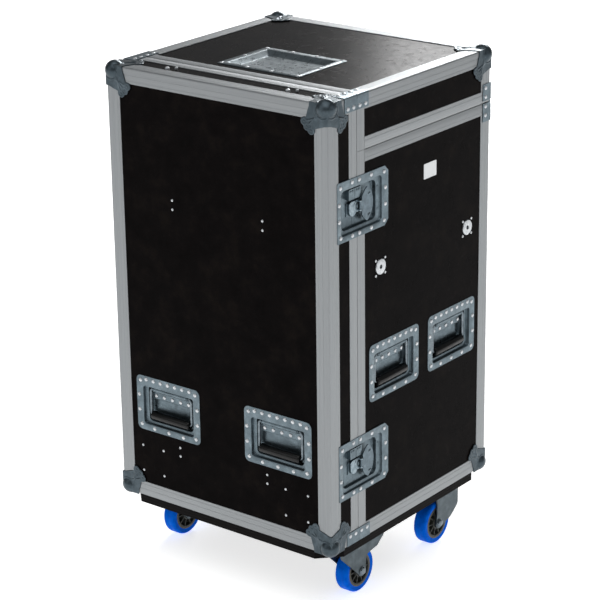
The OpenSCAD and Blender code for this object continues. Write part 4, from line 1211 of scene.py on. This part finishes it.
LATCH_PRESSING = closed_pressing(*dish_levels((LATCH_RIM, 3), LATCH_OPEN, 9, LATCH_FLOOR, 11,
                                              LATCH_STEP, LATCH_DEEP, 1.2), outline=clipped_rect)
SMALL_RIVET = lathe([(0, 1.5), (1.4, 1.3), (2.4, 0.8), (2.7, 0), (0, 0)], 16)
body_half = [halved(LATCH_PRESSING, 1), prism(round_rect((0.6, 16, 21, 38), 1.2), -14.2, -5.5)]
PIVOT = lathe([(0, -14.2), (4, -14.2), (4, -6.9), (5.5, -6.9), (5.5, -6.2), (4.9, -5.9), (0, -5.9)], 28)
body_half += [moved(PIVOT, *AXIS)]
body_half += rivets(((29, 35), (62, 34)), -14, SMALL_RIVET) + rivets(((76, -24), (76, 24)), -5, SMALL_RIVET)
body_half += rivets(((7, 33), (14.5, 33)), -5.5, SMALL_RIVET)
cover_half = [halved(LATCH_PRESSING, -1), prism(round_rect((-20, 16, -0.6, 38), 1.2), -14.2, -5.5)]
cover_half += [prism(round_rect((-20, -20, -1.8, 8), 1.5), -14.2, -12.2)]
cover_half += rivets(((-33, 34), (-34, -34)), -14, SMALL_RIVET)
cover_half += rivets(((-7, 33), (-14, 33)), -5.5, SMALL_RIVET)
piece("latch_body_pressings", on_all(LATCHES, body_half), pressed_steel, "case",
      ["latch_dishes"])
piece("latch_keeper_pressings", on_all(LATCHES, cover_half), pressed_steel, "front_cover",
      ["latch_keepers"])
print("latch pressing:", len(LATCH_PRESSING[1]), "faces before it is halved")

# %% [markdown]
# The works are a die casting and the wing is stamped sheet. The wing's outline is where two large
# discs overlap, with two teardrop holes. Folded flat it lies inside the dish's rim. The works and
# the wing are pieces of their own because each moves.

# %% Latch rotors and wings


def wing_outline(centre=(38, -3), steps=96):
    """Where two discs and a straight edge overlap, seen from a point inside."""
    points = []
    for k in range(steps):
        dx, dy = math.cos(math.tau * k / steps), math.sin(math.tau * k / steps)
        reach = (19.6 - centre[0]) / dx if dx < -1e-6 else 1000
        for (cx, cy), r in (((55, -3), 40), (AXIS, 45)):
            ox, oy = centre[0] - cx, centre[1] - cy
            b = ox * dx + oy * dy
            reach = min(reach, -b + math.sqrt(b * b - ox * ox - oy * oy + r * r))
        points.append((centre[0] + reach * dx, centre[1] + reach * dy))
    return points


def teardrop(x, y, r, point, steps=20):
    """Round hole drawn out to a point towards (x + point)."""
    outline = [(x + r * math.cos(a), y + r * math.sin(a))
               for a in (math.radians(60 + 240 * k / steps) for k in range(steps + 1))]
    return outline + [(x + point, y)]


HOOK = disc(-3, -9, 12, 32)
hook_arm = [(-15, -9), (-15, 6), (-9, 10), (8, 10), (12, -12), (9, -9)]
rotor_shapes = [moved(lathe([(4.1, -13.7), (12.6, -13.7), (13, -13.3), (13, -7.8), (12.5, -7.3), (6.1, -7.3),
                             (6.1, -7.9), (4.1, -7.9)], 36), *AXIS)]
rotor_shapes += [plate([HOOK], -11.4, -8.0), plate([hook_arm], -11.35, -8.05)]
for s in SIDES:
    v = AXIS[1] + s * 9.5
    ear = [(-3, -8), (3, -8), (3, -3)] + [(3 * math.cos(a), -3 + 3 * math.sin(a))
                                       for a in (math.radians(18 * k) for k in range(1, 10))] + [(-3, -3)]
    points, faces = prism(ear, -1.5, 1.5)
    rotor_shapes.append(([(WING_HINGE[0] + x, v + w, z) for x, z, w in points], faces))
PIN_AT = (WING_HINGE[0], AXIS[1], WING_HINGE[1])
rotor_shapes += [moved(lathe([(0, -11), (1.3, -11), (1.3, 11), (0, 11)], 16), *PIN_AT, LIE_Y)]
wing_shapes = [plate([wing_outline(), teardrop(40.5, 19, 3, 7.5), teardrop(40.5, -25, 3, 7.5)], -4.2, -1.8)]
wing_shapes += [block((WING_HINGE[0], AXIS[1] - 7.6, -4.1), (21, AXIS[1] + 7.6, -1.9))]
wing_shapes += [moved(lathe([(1.4, -7.6), (2.5, -7.6), (2.5, 7.6), (1.4, 7.6)], 20), *PIN_AT, LIE_Y)]
for number, where in enumerate(LATCHES, 1):
    body = f"latch_{number}"
    piece(f"{body}_hook_works", rotor_shapes, zinc_casting, body, [f"latch_rotor_{number}"],
          at=place(*where), bevel=0.3)
    piece(f"{body}_folding_wing", wing_shapes, wing_steel, f"{body}_butterfly",
          [f"latch_wing_{number}"], at=place(*where), bevel=0.5)
print("latches made:", len(LATCHES))

# %% [markdown]
# ## Sockets and the lid's stacking dish
# Four threaded sockets with wide flanges are let into the sides, to bolt on a shelf or a bracket.
# The dish in the lid lets cases be stacked: a flat floor with walls that slope out to the flange.

# %% Side sockets and lid dish
socket = lathe([(0, -10.6), (4.5, -10.6), (4.5, 0.8), (5.1, 1.4), (15.4, 1.4), (16.3, 1.1), (16.75, 0.4),
                (16.75, -1.6), (10, -1.6), (10, -14.4), (9.6, -14.6), (0, -14.6)], 48)
piece("side_sockets", on_all(BOSSES, [socket]), rivet_steel, "case", ["side_bosses"])

LID_BOX, LID_DISH_Y = (-107.5, -83.5, 107.5, 83.5), -62
down = [(LID_BOX, 2, -1.6), (LID_BOX, 2, -0.5), (grown(LID_BOX, -0.4), 2, -0.2),
        (grown(LID_BOX, -15), 4, -0.2), (grown(LID_BOX, -16.2), 4, -0.6), (grown(LID_BOX, -18), 4, -1.6),
        (grown(LID_BOX, -29), 4, -8.2), (grown(LID_BOX, -30.6), 4, -8.8), (grown(LID_BOX, -33), 4, -9)]
under = [(grown(LID_BOX, -33), 4, -10.4), (grown(LID_BOX, -28.4), 4, -9.8), (grown(LID_BOX, -16.8), 4, -2.6),
         (grown(LID_BOX, -15), 4, -1.6)]
piece("lid_stacking_dish", on_place(place("top", 0, LID_DISH_Y), [closed_pressing(down, under)]),
      dish_steel, "top_lid", ["lid_dish"])
print("sockets:", len(BOSSES))

# %% [markdown]
# ## Castors
# The forks are folded from plate 3.5 mm thick and turn on a ball race under a bolted top plate.
# The wheels trail behind the swivel. Blue polyurethane is cast on a ribbed polyamide core, which
# runs on a bolt through the cheeks.

# %% Castors
CASTOR_X, WHEEL_Y, TRAIL, WHEEL_R = 242.5, 146.5, 37.5, 50
CHEEK_IN, CHEEK_T, CROWN_Z, ARM_Z = 18, 3.5, 123.6, 119.8
CASTORS = ((1, -1), (-1, -1), (1, 1), (-1, 1))
BOARD_Z = 127


def castor_place(sx, sy):
    """Local x runs from the axle towards the swivel, y up, z outwards."""
    return Matrix(((0, 0, 1, sx * CASTOR_X), (sy, 0, 0, sy * WHEEL_Y), (0, 1, 0, 0), (0, 0, 0, 1)))


def rounded_outline(corners, radius, steps=5):
    """Outline with its corners rounded as far as its sides allow."""
    n, result = len(corners), []
    for i in range(n):
        before, corner, after = (Vector(corners[(i + k) % n]) for k in (-1, 0, 1))
        a, b = before - corner, after - corner
        cut = min(radius, 0.42 * a.length, 0.42 * b.length)
        p, q = corner + a.normalized() * cut, corner + b.normalized() * cut
        for t in (k / steps for k in range(steps + 1)):
            result.append(tuple(p * (1 - t) ** 2 + corner * (2 * t * (1 - t)) + q * t ** 2))
    return result


def hub_arc(a0, a1, steps=12, r=13):
    return [(r * math.cos(math.radians(a0 + (a1 - a0) * k / steps)),
             WHEEL_R + r * math.sin(math.radians(a0 + (a1 - a0) * k / steps))) for k in range(steps + 1)]


BRAKED = [(72.7, CROWN_Z), (72.7, 104), (12, 45), *hub_arc(-25, -180), (-15, 80), (-27, 84.4), (-56, 88),
          (-64, 95), (-79.5, 105.5), (-79.5, ARM_Z), (1.5, ARM_Z), (1.5, CROWN_Z)]
PLAIN = [(73.5, CROWN_Z), (73.5, 76), (71, 70), (58, 59.6), (44, 50), (31, 45.6), (10, 40.5),
         *hub_arc(-50, -200), (-8, 72), (-8, ARM_Z), (1.5, ARM_Z), (1.5, CROWN_Z)]


def cheek(outline, side):
    """Side plate of the fork: one flat plate, its outline's corners rounded."""
    z0, z1 = sorted((side * CHEEK_IN, side * (CHEEK_IN + CHEEK_T)))
    return plate([rounded_outline(outline, 4)], z0, z1)


def axle_shapes():
    """Bolt through the wheel, with a washer and a domed nut on each cheek."""
    shapes = [lathe([(0, -19), (6, -19), (6, 19), (0, 19)], 24)]
    bolt_end = CHEEK_IN + CHEEK_T
    for s in SIDES:
        flip = Matrix.Diagonal((1, 1, s))
        washer = lathe([(0, bolt_end), (10, bolt_end), (10, bolt_end + 1), (9.6, bolt_end + 1.4),
                        (0, bolt_end + 1.4)], 32)
        head = lathe([(0, bolt_end + 6), (4.5, bolt_end + 5.8), (7.2, bolt_end + 4.6), (8.3, bolt_end + 2.6),
                      (8.5, bolt_end + 1.4), (0, bolt_end + 1.4)], 28)
        shapes += [moved(washer, turn=flip), moved(head, turn=flip)]
    return shapes


def fork_shapes(braked):
    shapes = [cheek(BRAKED if braked else PLAIN, s) for s in SIDES]
    # crown plate, cut straight in line with the cheeks' rear edge
    crown = [(max(-78, min(73.5, TRAIL + 36 * math.cos(a))), max(-34, min(34, 36 * math.sin(a))))
             for a in (math.tau * k / 48 for k in range(48))]
    shapes.append(stood(plate([crown], CROWN_Z - 9, CROWN_Z - 0.2)))
    half = CHEEK_IN + 1
    shapes.append(stood(plate([round_rect((4, -half, 73, half), 2)], CROWN_Z - 8.8, CROWN_Z)))
    if braked:
        shapes.append(stood(plate([round_rect((-79.5, -half, 5, half), 1.5)], ARM_Z - 4, ARM_Z)))
    return shapes


def stood(shape):
    """From (along, across, height) to the castor's own (along, height, across)."""
    return [(a, h, c) for a, c, h in shape[0]], shape[1]


top_plate = plate([round_rect((-40, -52.5, 40, 52.5), 6)], BOARD_Z - 3, BOARD_Z)
race = lathe([(0, CROWN_Z + 0.5), (12, CROWN_Z + 0.5), (12, CROWN_Z - 10.5), (15, CROWN_Z - 12.5),
              (13.5, CROWN_Z - 16), (0, CROWN_Z - 16)], 36)
bolt_head = plate([disc(0, 0, 6.5, 6)], BOARD_Z - 5.6, BOARD_Z - 2.9)
one_plate = [top_plate, race] + [moved(bolt_head, x, y) for x in (-30, 30) for y in (-40, 40)]
plate_shapes = [moved(s, sx * CASTOR_X, sy * (WHEEL_Y + TRAIL)) for sx, sy in CASTORS for s in one_plate]
piece("castor_top_plates", plate_shapes, castor_steel, "case", ["castor_plates"], bevel=0.3)

print("forks and top plates for", len(CASTORS), "castors")

# %% [markdown]
# Tread and core are round, so a lathe makes both. The tread's face is nearly flat with a fine
# groove in the middle. The core has ten ribs, and an olive ring keeps threads off the hub.

# %% Wheels and assembly
tyre_half = [(37, 14.6), (43.5, 15.6), (45.4, 15.9)]
tyre_half += [(44 + 6 * math.sin(a), 10 + 6 * math.cos(a))
              for a in (math.radians(15 * k) for k in range(1, 7))]
TYRE = lathe([(r, z) for r, z in tyre_half] + [(50, 0.35), (49.85, 0), (50, -0.35)]
             + [(r, -z) for r, z in reversed(tyre_half)], 96)
core_half = [(6.1, 16.5), (13.6, 16.5), (15, 15.6), (15.6, 5.4), (30, 5), (30.6, 14.4), (31.4, 15),
             (34.2, 15)]
CORE = lathe(core_half + [(r, -z) for r, z in reversed(core_half)], 64)
RING = [lathe([(34.2, s * 14.9), (37.4, s * 14.9), (37.2, s * 14.3), (34.2, s * 14)], 64) for s in SIDES]
RIBS_ROUND = 10
rib = block((14.6, -1.1, -13.6), (31, 1.1, 13.6))
core_ribs = [moved(rib, turn=Matrix.Rotation(math.tau * k / RIBS_ROUND, 3, "Z")) for k in range(RIBS_ROUND)]
for number, (sx, sy) in enumerate(CASTORS, 1):
    body, at = f"castor_{number}", castor_place(sx, sy)
    axle = at @ Matrix.Translation((0, WHEEL_R, 0))
    piece(f"{body}_folded_fork", fork_shapes(sy < 0), castor_steel, body,
          [f"castor_fork_{number}"], at=at, bevel=0.6)
    piece(f"{body}_axle_bolt", axle_shapes(), wire_steel, body, at=axle)
    piece(f"{body}_blue_tyre", [TYRE], blue_tread, f"{body}_wheel", [f"castor_tyre_{number}"],
          at=axle, smooth=50)
    piece(f"{body}_wheel_core", [CORE, *core_ribs], core_plastic, f"{body}_wheel",
          [f"castor_core_{number}"], at=axle)
    piece(f"{body}_thread_ring", RING, ring_plastic, f"{body}_wheel", at=axle)
print("castors:", len(CASTORS))
